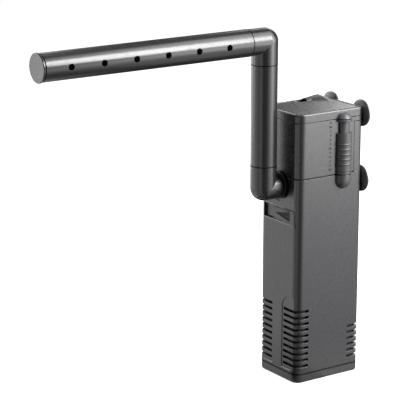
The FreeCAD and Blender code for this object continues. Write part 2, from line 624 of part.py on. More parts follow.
def pump_chamber():
    """The impeller's round chamber, with the outlet spigot, its collar and the groove for a ring."""
    foot = Vector(0, PUMP_Y, CHAMBER_FOOT_Z)
    wall = rod(CHAMBER_RADIUS, CHAMBER_HEIGHT, foot, UP)
    start = Vector(0, PUMP_Y, OUTLET_Z)
    end_y = -HALF_D - SLACK - COLLAR_THICKNESS - SPIGOT_LENGTH
    spigot = rod(SPIGOT_RADIUS, PUMP_Y - end_y, start, FORWARD)
    collar = rod(COLLAR_RADIUS, COLLAR_THICKNESS, Vector(0, -HALF_D - SLACK, OUTLET_Z), FORWARD)
    body = wall.fuse([spigot, collar])
    inside = rod(CHAMBER_RADIUS - CHAMBER_WALL, CHAMBER_HEIGHT - INNER_WALL, foot, UP)
    neck = rod(WELL_RADIUS, CHAMBER_HEIGHT, foot, UP)
    bore = rod(SPIGOT_RADIUS - SPIGOT_WALL, PUMP_Y - end_y + 1, start, FORWARD)
    width = 2 * (RING_WIRE + FIT)
    groove = tube(SPIGOT_RADIUS + 1, SPIGOT_RADIUS - 2 * RING_WIRE, width, ring_place(), FORWARD)
    return body.cut([inside, neck, bore, groove])


def ring_place():
    """The near side of the groove on the outlet spigot."""
    return Vector(0, -HALF_D - SLACK - COLLAR_THICKNESS - RING_FROM_COLLAR, OUTLET_Z)


def outlet_ring():
    """The rubber ring in the spigot's groove, with an eight-sided section."""
    centre = ring_place() + FORWARD * (RING_WIRE + FIT)
    wire = RING_WIRE - RING_FIT
    angles = [math.radians(22.5 + 45 * n) for n in range(8)]
    outline = [(SPIGOT_RADIUS - RING_WIRE + wire * math.cos(a), wire * math.sin(a)) for a in angles]
    return revolve(outline, centre, FORWARD)


def impeller_cover():
    """The plate under the chamber, with the inlet nozzle and the arms that carry the lower bush."""
    foot = CHAMBER_FOOT_Z - PLATE_THICKNESS
    inside = CHAMBER_RADIUS - CHAMBER_WALL - FIT
    disc = rod(CHAMBER_RADIUS, PLATE_THICKNESS, Vector(0, PUMP_Y, foot), UP)
    register = rod(inside, INNER_WALL, Vector(0, PUMP_Y, CHAMBER_FOOT_Z), UP)
    nozzle = rod(INLET_RADIUS, INLET_LENGTH, Vector(0, PUMP_Y, foot - INLET_LENGTH), UP)
    plate = disc.fuse([register, nozzle])
    through = rod(INLET_RADIUS - INLET_WALL, 2 * INLET_LENGTH, Vector(0, PUMP_Y, foot - INLET_LENGTH), UP)
    dish = rod(inside - INNER_WALL, 2 * INNER_WALL, Vector(0, PUMP_Y, CHAMBER_FOOT_Z), UP)
    plate = plate.cut([through, dish])
    holder = [rod(BUSH_RADIUS + HUB_WALL, BUSH_LENGTH, Vector(0, PUMP_Y, LOWER_BUSH_Z), UP)]
    half, reach = HUB_WALL / 2, INLET_RADIUS - INLET_WALL / 2
    for n in range(3):
        arm = box(0, reach, PUMP_Y - half, PUMP_Y + half, LOWER_BUSH_Z, LOWER_BUSH_Z + ARM_HEIGHT)
        arm.rotate(Vector(0, PUMP_Y, 0), UP, 120 * n)
        holder.append(arm)
    return plate.fuse(holder).cut(rod(BUSH_RADIUS, BUSH_LENGTH, Vector(0, PUMP_Y, LOWER_BUSH_Z + 1), UP))


def shaft_bush(z):
    """A rubber bush that holds one end of the shaft."""
    return tube(BUSH_RADIUS - 0.02, SHAFT_RADIUS, BUSH_LENGTH - 1.0, Vector(0, PUMP_Y, z), UP)


def shaft():
    """The ceramic shaft between the two bushes."""
    z0 = LOWER_BUSH_Z + 1 + FIT
    z1 = BUSH_TOP_Z - SLACK
    return rod(SHAFT_RADIUS, z1 - z0, Vector(0, PUMP_Y, z0), UP)


def magnet_rotor():
    """The round magnet in the well."""
    return tube(MAGNET_RADIUS, SHAFT_RADIUS + SHAFT_FIT, MAGNET_LENGTH, Vector(0, PUMP_Y, MAGNET_Z), UP)


def impeller_blade(turn):
    """One curved blade between two arcs: each arc is given by its radii and its angles."""
    def edge(angle_step):
        points = []
        for radius, angle in BLADE_COURSE:
            a = math.radians(angle + turn) + angle_step / radius
            points.append(Vector(radius * math.cos(a), PUMP_Y + radius * math.sin(a), IMPELLER_Z))
        return points
    front, back = edge(0.0), edge(BLADE_WALL)
    sides = [
        Part.Arc(*front).toShape(),
        Part.LineSegment(front[-1], back[-1]).toShape(),
        Part.Arc(*reversed(back)).toShape(),
        Part.LineSegment(back[0], front[0]).toShape(),
    ]
    return Part.Face(Part.Wire(sides)).extrude(Vector(0, 0, IMPELLER_HEIGHT - 1))


def impeller():
    """The impeller: a disc with curved blades under it and a stem up to the magnet."""
    top = IMPELLER_Z + IMPELLER_HEIGHT
    disc = rod(IMPELLER_RADIUS, IMPELLER_DISC, Vector(0, PUMP_Y, top - IMPELLER_DISC), UP)
    hub = rod(IMPELLER_HUB, IMPELLER_HEIGHT - 1, Vector(0, PUMP_Y, IMPELLER_Z), UP)
    stem = rod(IMPELLER_STEM, MAGNET_Z - top, Vector(0, PUMP_Y, top), UP)
    blades = [impeller_blade(360 * n / IMPELLER_BLADES) for n in range(IMPELLER_BLADES)]
    wheel = disc.fuse([hub, stem] + blades)
    return wheel.cut(rod(SHAFT_RADIUS + SHAFT_FIT, 2 * MAGNET_LENGTH, Vector(0, PUMP_Y, IMPELLER_Z - 1), UP))


def core_blocks(grow=0.0):
    """The core's two legs and its yoke, each made larger all round by grow."""
    inner = WELL_RADIUS + WELL_WALL - COIL_WALL - SLACK
    outer = inner + CORE_LEG + 2 * COIL_WALL
    z0, z1 = CORE_Z - grow, CORE_Z + CORE_HEIGHT + grow
    back = YOKE_Y + CORE_LEG + grow
    legs = [box(side * (inner - grow), side * (outer + grow), PUMP_Y - CORE_FRONT - grow, back, z0, z1)
            for side in (-1, 1)]
    yoke = box(-inner - 1, inner + 1, YOKE_Y - grow, back, z0, z1)
    return legs + [yoke]


def coil_half():
    """Half the length of the bobbin, which fits between the core's legs."""
    return WELL_RADIUS + WELL_WALL - COIL_WALL - 2 * SLACK


def around_yoke(half, grow):
    """A block of a given half length round the yoke, larger than it all round by grow."""
    z0, z1 = CORE_Z - grow, CORE_Z + CORE_HEIGHT + grow
    return box(-half, half, YOKE_Y - grow, YOKE_Y + CORE_LEG + grow, z0, z1)


def stator_core():
    """The laminated core: two legs beside the well, joined by a yoke through the coil."""
    blocks = core_blocks()
    clear = rod(WELL_RADIUS + WELL_WALL + FIT, CORE_HEIGHT, Vector(0, PUMP_Y, CORE_Z), UP)
    return blocks[0].fuse(blocks[1:]).cut(clear)


def coil_bobbin():
    """The bobbin on the yoke, with a flange at each end."""
    half = coil_half()
    spool = around_yoke(half, COIL_WALL)
    flanges = around_yoke(half, COIL_DEPTH).cut(around_yoke(half - COIL_WALL, COIL_DEPTH + 1))
    return spool.fuse(flanges).cut(around_yoke(half + 1, FIT))


def coil_winding():
    """The copper winding between the bobbin's flanges."""
    half = coil_half() - COIL_WALL - FIT
    block = around_yoke(half, COIL_DEPTH - SLACK)
    edges = [e for e in block.Edges if abs(e.tangentAt(e.FirstParameter).x) > 0.99]
    return block.makeFillet(COIL_WALL, edges).cut(around_yoke(half + 1, COIL_WALL + FIT))


def motor_resin():
    """The resin that seals the motor space round the well, the core and the coil."""
    fill = head_prism(FLOOR_TOP_Z + RESIN_GAP, FLOOR_TOP_Z + RESIN_DEPTH, WALL + RESIN_GAP)
    well = rod(WELL_RADIUS + WELL_WALL + RESIN_GAP, WELL_HEIGHT, Vector(0, PUMP_Y, FLOOR_Z), UP)
    coil = around_yoke(coil_half() + RESIN_GAP, COIL_DEPTH + RESIN_GAP)
    return fill.cut([well, coil] + core_blocks(RESIN_GAP))


def elbow(corner, first, first_leg, first_bore, second, second_leg, second_bore):
    """A mitred elbow: two round legs and a ball at the corner, hollow, with a socket in each leg."""
    legs = [rod(PIPE_RADIUS, first_leg, corner, first), rod(PIPE_RADIUS, second_leg, corner, second)]
    body = legs[0].fuse([legs[1], Part.makeSphere(PIPE_RADIUS, corner)])
    inside = [rod(PIPE_BORE, first_leg + 1, corner, first), rod(PIPE_BORE, second_leg + 1, corner, second)]
    hollow = inside[0].fuse([inside[1], Part.makeSphere(PIPE_BORE, corner)])
    sockets = [
        rod(first_bore, SOCKET_DEPTH + 1, corner + first * (first_leg - SOCKET_DEPTH), first),
        rod(second_bore, SOCKET_DEPTH + 1, corner + second * (second_leg - SOCKET_DEPTH), second),
    ]
    return body.cut([hollow] + sockets)


def lower_elbow():
    """The elbow on the outlet spigot. It turns about the outlet."""
    mouth_y = -HALF_D - SLACK - COLLAR_THICKNESS - 0.2
    corner = Vector(0, RISER_Y, OUTLET_Z)
    return elbow(corner, Vector(0, 1, 0), mouth_y - RISER_Y, SPIGOT_RADIUS + TURN_FIT,
                 UP, ELBOW_LEG, SOCKET_RADIUS + TURN_FIT)


def upper_elbow():
    """The elbow on top of the riser. It turns about the riser and holds the bar."""
    corner = Vector(0, RISER_Y, BAR_Z)
    return elbow(corner, Vector(0, 0, -1), ELBOW_LEG, SOCKET_RADIUS + TURN_FIT,
                 FORWARD, BAR_LEG, SOCKET_RADIUS + TURN_FIT)


def riser_tube():
    """The upright tube, stepped down at both ends to enter the elbows."""
    low = OUTLET_Z + ELBOW_LEG + SLACK
    high = BAR_Z - ELBOW_LEG - SLACK
    plug = SOCKET_DEPTH - 2 * SLACK
    body = rod(RISER_RADIUS, high - low, Vector(0, RISER_Y, low), UP)
    ends = rod(SOCKET_RADIUS, high - low + 2 * plug, Vector(0, RISER_Y, low - plug), UP)
    bore = rod(PIPE_BORE, high - low + 2 * plug + 2, Vector(0, RISER_Y, low - plug - 1), UP)
    return body.fuse(ends).cut(bore)


def spray_bar():
    """The bar: stepped down at one end to enter its elbow, open at the other, with a row of round holes."""
    start = BAR_START_Y - SLACK
    plug = SOCKET_DEPTH - 2 * SLACK
    body = rod(BAR_RADIUS, start - BAR_END_Y, Vector(0, start, BAR_Z), FORWARD)
    step = rod(SOCKET_RADIUS, plug + 1, Vector(0, start + plug, BAR_Z), FORWARD)
    bore = rod(BAR_BORE, start - BAR_END_Y, Vector(0, start - BAR_SHOULDER, BAR_Z), FORWARD)
    inlet = rod(PIPE_BORE, plug + 2 * BAR_SHOULDER, Vector(0, start + plug, BAR_Z), FORWARD)
    holes = []
    for n in range(BAR_HOLES):
        y = BAR_END_Y + FIRST_HOLE_FROM_END + n * BAR_HOLE_PITCH
        holes.append(rod(BAR_HOLE_RADIUS, BAR_RADIUS + 2, Vector(0, y, BAR_Z), RIGHT))
    return body.fuse(step).cut([bore, inlet] + holes)


def bar_end_cap():
    """The plug that closes the bar, with a flat flange wider than the bar and a narrower neck."""
    flange, neck = CAP_FLANGE_THICKNESS, CAP_FLANGE_THICKNESS + CAP_NECK
    plug, end = BAR_BORE - TURN_FIT, CAP_FLANGE_THICKNESS + CAP_NECK + CAP_PLUG_LENGTH
    outline = [
        (0, 0), (CAP_FLANGE_RADIUS - CAP_EDGE, 0), (CAP_FLANGE_RADIUS, CAP_EDGE), (CAP_FLANGE_RADIUS, flange),
        (CAP_NECK_RADIUS, flange), (CAP_NECK_RADIUS, neck), (plug, neck), (plug, end - CAP_EDGE),
        (plug - CAP_EDGE, end), (plug - INNER_WALL, end), (plug - INNER_WALL, neck), (0, neck),
    ]
    return revolve(outline, Vector(0, BAR_END_Y - FIT - neck, BAR_Z), Vector(0, 1, 0))


def save(name, shape):
    shape = shape.removeSplitter()
    solids = shape.Solids
    if len(solids) == 1:
        shape = solids[0]
    print(name, "solids", len(solids), "valid", shape.isValid(), "volume", round(shape.Volume, 1))
    shape.exportStep("parts/" + name + ".step")


PIECES = {
    "canister_shell": canister_shell,
    "base_cap": base_cap,
    "intake_tube": intake_tube,
    "filter_sponge": filter_sponge,
    "flow_slider": flow_slider,
    "suction_cup_lower_left": lambda: suction_cup(-CUP_X, LOWER_CUP_Z),
    "suction_cup_lower_right": lambda: suction_cup(CUP_X, LOWER_CUP_Z),
    "suction_cup_upper_left": lambda: suction_cup(-CUP_X, UPPER_CUP_Z),
    "suction_cup_upper_right": lambda: suction_cup(CUP_X, UPPER_CUP_Z),
    "head_housing": head_housing,
    "top_cover": top_cover,
    "cable_gland": cable_gland,
    "head_seal": head_seal,
    "latch_clip_left": lambda: latch_clip(-1),
    "latch_clip_right": lambda: latch_clip(1),
    "pump_chamber": pump_chamber,
    "impeller_cover": impeller_cover,
    "outlet_ring": outlet_ring,
    "shaft_bush_lower": lambda: shaft_bush(LOWER_BUSH_Z + 1),
    "shaft_bush_upper": lambda: shaft_bush(BUSH_TOP_Z - BUSH_LENGTH + 1),
    "rotor_shaft": shaft,
    "magnet_rotor": magnet_rotor,
    "impeller": impeller,
    "stator_core": stator_core,
    "coil_bobbin": coil_bobbin,
    "coil_winding": coil_winding,
    "motor_resin": motor_resin,
    "lower_elbow": lower_elbow,
    "riser_tube": riser_tube,
    "upper_elbow": upper_elbow,
    "spray_bar": spray_bar,
    "bar_end_cap": bar_end_cap,
}

for piece, make in PIECES.items():
    save(piece, make())
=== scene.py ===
import math

import bmesh
import bpy
from mathutils import Matrix, Vector, noise

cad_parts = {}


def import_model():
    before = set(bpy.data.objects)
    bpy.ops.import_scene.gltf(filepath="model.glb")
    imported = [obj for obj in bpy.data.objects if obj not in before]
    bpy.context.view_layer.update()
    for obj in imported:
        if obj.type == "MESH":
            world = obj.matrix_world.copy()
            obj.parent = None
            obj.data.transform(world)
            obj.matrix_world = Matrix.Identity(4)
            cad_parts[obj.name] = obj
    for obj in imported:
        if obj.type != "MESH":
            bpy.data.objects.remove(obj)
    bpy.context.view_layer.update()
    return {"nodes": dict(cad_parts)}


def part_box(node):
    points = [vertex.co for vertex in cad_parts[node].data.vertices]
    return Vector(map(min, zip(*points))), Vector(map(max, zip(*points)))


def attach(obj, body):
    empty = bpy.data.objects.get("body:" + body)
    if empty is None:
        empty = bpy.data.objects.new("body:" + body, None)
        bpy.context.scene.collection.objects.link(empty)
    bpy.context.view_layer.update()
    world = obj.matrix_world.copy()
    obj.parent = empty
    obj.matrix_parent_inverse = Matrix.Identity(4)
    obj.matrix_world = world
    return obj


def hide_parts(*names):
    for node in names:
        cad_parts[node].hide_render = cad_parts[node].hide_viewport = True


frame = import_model()

MM = 0.001

# The camera, fitted to the photograph: its place in metres and the way it looks
CAMERA_PLACE = Vector((1.34075, -1.03191, 0.62273))
CAMERA_LOOK = Vector((-0.80106, 0.53998, -0.25832))
CAMERA_LENS = 163.79
SENSOR_WIDTH = 36.0
CAMERA_NEAR, CAMERA_FAR = 0.05, 50

# Colours of the finishes, as linear values
SHELL_GREY = (0.056, 0.055, 0.060, 1)
SHELL_DARK = (0.046, 0.046, 0.050, 1)
# Painted highlight on the shell's upward-leaning edges, and the lighter tone of its proud parts
SHELL_LIGHTER_AND_HIGHLIGHT = (0.14, 0.139, 0.146, 1)
SHELL_DUST = (0.19, 0.185, 0.18, 1)
# Painted highlight: the pale ring on the rim of the outlet's collar
RIM_HIGHLIGHT_GREY = (0.32, 0.32, 0.33, 1)
LATCH_GREY = (0.1, 0.099, 0.104, 1)
PIPE_GREY = (0.032, 0.032, 0.035, 1)
PIPE_DARK = (0.026, 0.026, 0.029, 1)
MARK_GREY = (0.03, 0.03, 0.032, 1)
MARK_WORN = (0.06, 0.06, 0.063, 1)
INNER_BLACK = (0.03, 0.03, 0.033, 1)
INNER_GREY = (0.045, 0.045, 0.05, 1)
RUBBER_BLACK = (0.04, 0.04, 0.042, 1)
RUBBER_DARK = (0.03, 0.03, 0.03, 1)
RUBBER_BLOOM = (0.095, 0.095, 0.1, 1)
# Painted shadow in the gaps of the pipes' joints and the base's seam
GAP_SHADOW_BLACK = (0.003, 0.003, 0.0035, 1)
FOAM_BLACK = (0.022, 0.024, 0.028, 1)
FOAM_EDGE = (0.06, 0.065, 0.075, 1)
CERAMIC_WHITE = (0.8, 0.78, 0.72, 1)
CERAMIC_DULL = (0.6, 0.58, 0.52, 1)
FERRITE_GREY = (0.06, 0.06, 0.063, 1)
FERRITE_PALE = (0.1, 0.1, 0.105, 1)
STEEL_GREY = (0.4, 0.4, 0.41, 1)
STEEL_JOINT = (0.12, 0.1, 0.09, 1)
COPPER = (0.62, 0.24, 0.1, 1)
COPPER_DARK = (0.3, 0.09, 0.035, 1)
RESIN_BLACK = (0.02, 0.02, 0.022, 1)
RESIN_GREY = (0.035, 0.035, 0.037, 1)

# How far the finishes round off sharp edges
MOULD_EDGE = 0.4 * MM
LATCH_EDGE = 0.7 * MM
PIPE_EDGE = 0.3 * MM

# Where the shell is dusty and lightened: how wide its painted edge highlights are, how far from
# the middle plane its lighter proud parts begin, and the height at which the dust has thinned out
RIM_REACH = 0.9 * MM
SIDE_REACH = 30.5 * MM
DUST_HEIGHT = 41.67 * MM

# The fine grain of the moulded pieces, and the gloss that satin and polished plastic share
GRAIN_SIZE = 0.35 * MM
GRAIN_DEPTH = 0.02 * MM
GLOSS = 1.0

# The depths below the flow plate's face between which its sunk arrow is dark
ARROW_FROM = 0.4 * MM
ARROW_TO = 1.4 * MM

# Half the width of the elbows' parting line, and the thickness of a sheet of the motor's core
PARTING_HALF = 0.12 * MM
CORE_SHEET = 0.5 * MM

# The sponge: its gap round the intake tube, its round corners, its tucked edges, how its faces
# are laid out up the sides, round them and across the ends, and the pores in its skin
SPONGE_GAP = 0.4 * MM
SPONGE_CORNER = 5.0 * MM
SPONGE_TUCK = 0.8 * MM
SPONGE_ROW = 2.2 * MM
SPONGE_SIDES = 132
SPONGE_LANES = 8
PORE_DEPTH = 0.9 * MM
PORES_PER_METRE = 420

# The hood's skin on the top cover, which follows the ridge of the cable hood
PANEL_Z = 263.6 * MM
HOOD_RIDGE_X = -24.5 * MM
HOOD_PEAK = 267.65 * MM
HOOD_PEAK_Y = 25.5 * MM
HOOD_SLOPE = 0.127
SWEEP_FRONT = 10.9 * MM
SWEEP_BACK = 36.4 * MM
SWEEP_START = 3.0 * MM
SWEEP_NARROW = 9.0 * MM
SWEEP_WIDE = 30.0 * MM
SWEEP_SINK = 0.1 * MM
SWEEP_COLUMNS = 24
SWEEP_ROWS = 22

# The lips on the canister's front: where the edges of the window, the flow plate and the pockets
# lie, and the lips' sections, as (distance from the edge, rise) in millimetres
WINDOW_HALF = 23.2 * MM
PLATE_RAIL = 0.7 * MM
PLATE_GAP = 0.3 * MM
PLATE_SUNK = 0.5 * MM
PLATE_GRIP = 5.4 * MM
POCKET_INNER = 7.0 * MM
POCKET_OUTER = 22.3 * MM
POCKET_FOOT = 12.2 * MM
LIP_BEAD = ((0.1, -0.2), (0.1, 0.2), (0.25, 0.4), (0.5, 0.4), (0.9, 0.0), (0.9, -0.2))
LIP_DRIP = ((-0.2, -0.9), (-0.2, -0.15), (0.3, 0.35), (0.7, 0.34), (1.6, 0.12), (2.6, -0.2))
LIP_PLATE = ((0, -0.2), (0, 0.3), (0.4, 0.7), (0.8, 0.66), (1.6, 0.2), (2.2, -0.2))
LIP_POCKET = ((0, -0.4), (0, -0.15), (0.5, 0.42), (0.9, 0.4), (1.8, 0.1), (2.4, -0.2))

# The dark strip in the seam of the base, a painted shadow of its gap, and the body's round corners
# that it follows
SEAM_FOOT = 8.25 * MM
SEAM_TOP = 9.35 * MM
SEAM_PROUD = 0.05 * MM
SEAM_WIDTH = 0.9 * MM
CORNER_RADIUS = 8 * MM
BACK_CORNER_RADIUS = 5 * MM
CORNER_STEPS = 10

# The slim dark rings in the pipes' joints, painted shadows of their gaps, whose section the
# painted highlight ring on the collar's rim shares
RING_HALF = 0.35 * MM
RING_PROUD = 0.08 * MM
RING_SINK = 0.6 * MM
RING_SHIFT = 0.08 * MM
RING_SIDES = 96

# The collar that the lower elbow stands against
OUTLET_Z = 192 * MM
COLLAR_RADIUS = 13.4 * MM
COLLAR_STAND = 2.35 * MM

# The small ticks on the right of the head: TICK_EXTRA is how much longer every fifth is, as a
# share, and TICK_DROP is how far the lowest one lies below the housing's top
TICK_COUNT = 12
TICK_PITCH = 4.1 * MM
TICK_LENGTH = 1.6 * MM
TICK_WIDTH = 1.5 * MM
TICK_HEIGHT = 0.1 * MM
TICK_EXTRA = 0.8
TICK_Y = -1.0 * MM
TICK_DROP = 47.5 * MM

# The coil's outer layer of wire, and how far it stands proud of the plain winding
WIRE_RADIUS = 0.25 * MM
WIRE_PROUD = 0.1 * MM
COIL_CORNER = 1.2 * MM

# The floor, in metres. Its sheen is how white reflections see it along x, as (x, white) points,
# with painted shade that dims it near the foot
FLOOR_RADIUS = 9.0
FLOOR_DROP = 0.2 * MM
FLOOR_SHEEN = [(-0.1, 0.98), (0.02, 0.5), (0.7, 1.0)]
FLOOR_WHITE = (0.9, 0.9, 0.9, 1)
FLOOR_PALE = (0.86, 0.86, 0.86, 1)
FLOOR_GLOW = 0.9
PURE_WHITE = (1, 1, 1, 1)
WORLD_FILL = 0.04

# The dark dome, and the (x, y) corners of the dark cards on the floor, in metres
DOME_RADIUS = 4.0
CARD_DROP = 0.1 * MM
CLOTH_BLACK = (0.02, 0.02, 0.02, 1)
CLOTH_GREY = (0.03, 0.03, 0.03, 1)
DARK_CARDS = [
    [(0, 0), (2.4, -3.1), (4, 0)],
    [(0.02, -0.035), (0.7, 4), (-4, 4), (-4, 1.9),
     (-1.1, 0.36), (-0.4, -0.06), (-0.11, -0.08), (-0.04, -0.04)],
    [(0.032, -0.041), (-0.07, -0.112), (-0.05, -0.16), (0.06, -0.12), (0.06, -0.03)],
]

# The lamps: name, degrees round the object and above it, distance, height aimed at, size, watts
LAMPS = [
    ("key", 30, 31, 1.62, 0.3, (0.5, 0.95), 25),
    ("top_panel", 60, 55, 1.2, 0.3, (0.6, 0.5), 3),
    ("right_stand", 36, 0, 0.95, 0.3, (0.5, 0.6), 2.7),
    ("right_fill", 52, 15, 0.55, 0.36, (0.3, 0.5), 1.5),
    ("left_stand", -163, 0, 0.9, 0.3, (0.28, 0.6), 1.2),
    ("front_stand", -131, 0, 1.1, 0.25, (0.22, 0.5), 0.9),
    ("back_stand", 134, 15, 2.0, 0.4, (0.5, 1.1), 3.4),
    ("hood_light", 138, 34, 0.5, 0.265, (0.2, 0.2), 0.08),
    ("edge_light", -173, 28, 1.2, 0.3, (1.0, 0.7), 7),
    ("cup_light", 188, 66, 1.2, 0.3, (0.6, 0.6), 3.6),
]


class Value:
    """A node's output. An expression on it adds the Math nodes that work it out."""

    def __init__(self, graph, socket):
        self.graph = graph
        self.socket = socket

    def _maths(self, operation, first, second=0.0):
        made = self.graph.node("ShaderNodeMath", {"operation": operation}, {0: first, 1: second})
        return made["Value"]

    def __add__(self, other):
        return self._maths("ADD", self, other)

    def __radd__(self, other):
        return self._maths("ADD", other, self)

    def __sub__(self, other):
        return self._maths("SUBTRACT", self, other)

    def __rsub__(self, other):
        return self._maths("SUBTRACT", other, self)

    def __mul__(self, other):
        return self._maths("MULTIPLY", self, other)

    def __rmul__(self, other):
        return self._maths("MULTIPLY", other, self)

    def __gt__(self, other):
        return self._maths("GREATER_THAN", self, other)

    def __lt__(self, other):
        return self._maths("LESS_THAN", self, other)

    def __abs__(self):
        return self._maths("ABSOLUTE", self)

    def __mod__(self, other):
        return self._maths("FLOORED_MODULO", self, other)


class Made:
    """A node that has been added. Its outputs are read by name or number."""

    def __init__(self, graph, node):
        self.graph = graph
        self.node = node

    def __getitem__(self, name):
        return Value(self.graph, self.node.outputs[name])


class Graph:
    """A node tree of any kind, and the one way that nodes are added to it."""

    def __init__(self, tree):
        self.tree = tree

    def node(self, kind, settings=None, sockets=None):
        """Adds a node: its settings come first, then a value or a link for each socket given."""
        made = self.tree.nodes.new(kind)
        for name, setting in (settings or {}).items():
            if name == "stops":
                self._set_stops(made.color_ramp, setting)
            else:
                setattr(made, name, setting)
        for name, given in (sockets or {}).items():
            if isinstance(given, Value):
                self.tree.links.new(given.socket, made.inputs[name])
            else:
                made.inputs[name].default_value = given
        return Made(self, made)

    def _set_stops(self, ramp, stops):
        while len(ramp.elements) < len(stops):
            ramp.elements.new(1.0)
        for element, (place, colour) in zip(ramp.elements, stops):
            element.position = place
            element.color = colour


class Finish(Graph):
    """A material whose patterns are laid out in the object's own metres."""

    def __init__(self, name):
        self.material = bpy.data.materials.new(name)
        self.material.use_nodes = True
        super().__init__(self.material.node_tree)
        self.tree.nodes.clear()
        self.place = self.node("ShaderNodeTexCoord")["Object"]
        split = self.node("ShaderNodeSeparateXYZ", {}, {0: self.place})
        self.x, self.y, self.z = split["X"], split["Y"], split["Z"]

    def noise(self, size, detail=2.0, stretch=(1, 1, 1)):
        """Soft noise with features of a size in metres, drawn out where the stretch is small."""
        place = self.place
        if stretch != (1, 1, 1):
            sockets = {"Vector": place, "Scale": stretch}
            place = self.node("ShaderNodeMapping", {}, sockets)["Vector"]
        sockets = {"Vector": place, "Scale": 1 / size, "Detail": detail, "Roughness": 0.55}
        return self.node("ShaderNodeTexNoise", {}, sockets)[0]

    def cells(self, size):
        """Distance to the nearest of scattered points, for pores and grains."""
        sockets = {"Vector": self.place, "Scale": 1 / size}
        return self.node("ShaderNodeTexVoronoi", {}, sockets)["Distance"]

    def ramp(self, value, *stops):
        """A value between 0 and 1, reshaped by (place, value) stops."""
        settings = {"stops": [(place, (v, v, v, 1)) for place, v in stops]}
        return self.node("ShaderNodeValToRGB", settings, {"Fac": value})["Color"]

    def blend(self, mask, first, second):
        """The first colour where the mask is 0, the second where it is 1."""
        settings = {"data_type": "RGBA"}
        return self.node("ShaderNodeMix", settings, {0: mask, 6: first, 7: second})[2]

    def bump(self, height, depth, under=None):
        """A normal raised by a height between 0 and 1, times a depth in metres."""
        sockets = {"Height": height, "Distance": depth, "Strength": 1.0}
        if under is not None:
            sockets["Normal"] = under
        return self.node("ShaderNodeBump", {}, sockets)["Normal"]

    def soft_edge(self, radius):
        """The normal of the surface with its sharp edges rounded off by a radius in metres."""
        return self.node("ShaderNodeBevel", {"samples": 6}, {"Radius": radius})["Normal"]

    def grained(self, radius):
        """The same, with the mould's fine grain over it."""
        return self.bump(self.noise(GRAIN_SIZE, 2), GRAIN_DEPTH, self.soft_edge(radius))

    def scuffs(self, size):
        """Scattered patches that handling has dulled, as a mask."""
        return self.ramp(self.noise(size, 5), (0.55, 0.0), (0.75, 1.0))

    def surface(self, **sockets):
        """Ends the material in a Principled shader: underscores in the names stand for spaces."""
        named = {name.replace("_", " "): given for name, given in sockets.items()}
        shader = self.node("ShaderNodeBsdfPrincipled", {}, named)["BSDF"]
        self.node("ShaderNodeOutputMaterial", {}, {"Surface": shader})
        return self.material


def shell_plastic():
    """Satin moulded plastic: fine grain, faint flow marks, dust near the foot, painted edge
    highlights.
    """
    f = Finish("shell_plastic")
    flow = f.noise(45 * MM, 3, (1, 1, 0.35))
    mottle = f.noise(4 * MM, 3)
    dust = f.ramp(f.z * (1 / DUST_HEIGHT), (0.0, 0.35), (1.0, 0.0)) * f.noise(12 * MM, 4)
    tone = f.blend(0.25 * flow, SHELL_GREY, SHELL_DARK)
    tone = f.blend(dust, tone, SHELL_DUST)
    # Painted highlight: an edge is lighter where its rounded surface leans between upright and
    # level
    tilt = f.node("ShaderNodeSeparateXYZ", {}, {0: f.soft_edge(RIM_REACH)})["Z"]
    painted_edge_highlight = f.ramp(tilt, (0.1, 0.0), (0.25, 1.0), (0.5, 1.0), (0.7, 0.0))
    tone = f.blend(painted_edge_highlight, tone, SHELL_LIGHTER_AND_HIGHLIGHT)
    # What stands proud of the sides, as the domes over the latches do, is lighter all over
    proud = abs(f.x) > SIDE_REACH
    tone = f.blend(0.5 * proud, tone, SHELL_LIGHTER_AND_HIGHLIGHT)
    rough = 0.22 + 0.08 * mottle + 0.04 * flow + 0.16 * proud
    normal = f.bump(f.noise(30 * MM, 1), 0.04 * MM, f.grained(MOULD_EDGE))
    return f.surface(Base_Color=tone, Roughness=rough, Normal=normal, Specular_IOR_Level=GLOSS)


def latch_plastic():
    """The latches' plastic: a lighter grey than the shell's, with a duller moulded skin."""
    f = Finish("latch_plastic")
    mottle = f.noise(3 * MM, 3)
    tone = f.blend(0.3 * mottle, LATCH_GREY, SHELL_GREY)
    rough = 0.44 + 0.1 * mottle
    normal = f.grained(LATCH_EDGE)
    return f.surface(Base_Color=tone, Roughness=rough, Normal=normal, Specular_IOR_Level=GLOSS)


def slider_plastic(face_y):
    """The flow plate's plastic, darker where the arrow is sunk below its face."""
    f = Finish("slider_plastic")
    sunk = (f.y > face_y + ARROW_FROM) * (f.y < face_y + ARROW_TO)
    tone = f.blend(0.3 * f.noise(6 * MM, 3), SHELL_GREY, SHELL_DARK)
    tone = f.blend(sunk, tone, RESIN_BLACK)
    rough = 0.38 + 0.08 * f.noise(3 * MM, 3) + 0.4 * sunk
    normal = f.grained(MOULD_EDGE)
    return f.surface(Base_Color=tone, Roughness=rough, Normal=normal, Specular_IOR_Level=GLOSS)


def pipe_plastic(name, along):
    """Glossy plastic, drawn or polished along one axis, with faint streaks along it."""
    f = Finish(name)
    stretch = tuple(0.02 if axis == along else 1 for axis in "XYZ")
    streak = f.noise(1.2 * MM, 3, stretch)
    broad = f.noise(30 * MM, 2)
    tone = f.blend(0.3 * broad, PIPE_GREY, PIPE_DARK)
    rough = 0.24 + 0.05 * streak + 0.06 * f.scuffs(9 * MM) + 0.03 * broad
    normal = f.bump(streak, 0.006 * MM, f.bump(broad, 0.05 * MM, f.soft_edge(PIPE_EDGE)))
    return f.surface(Base_Color=tone, Roughness=rough, Normal=normal, Specular_IOR_Level=GLOSS)


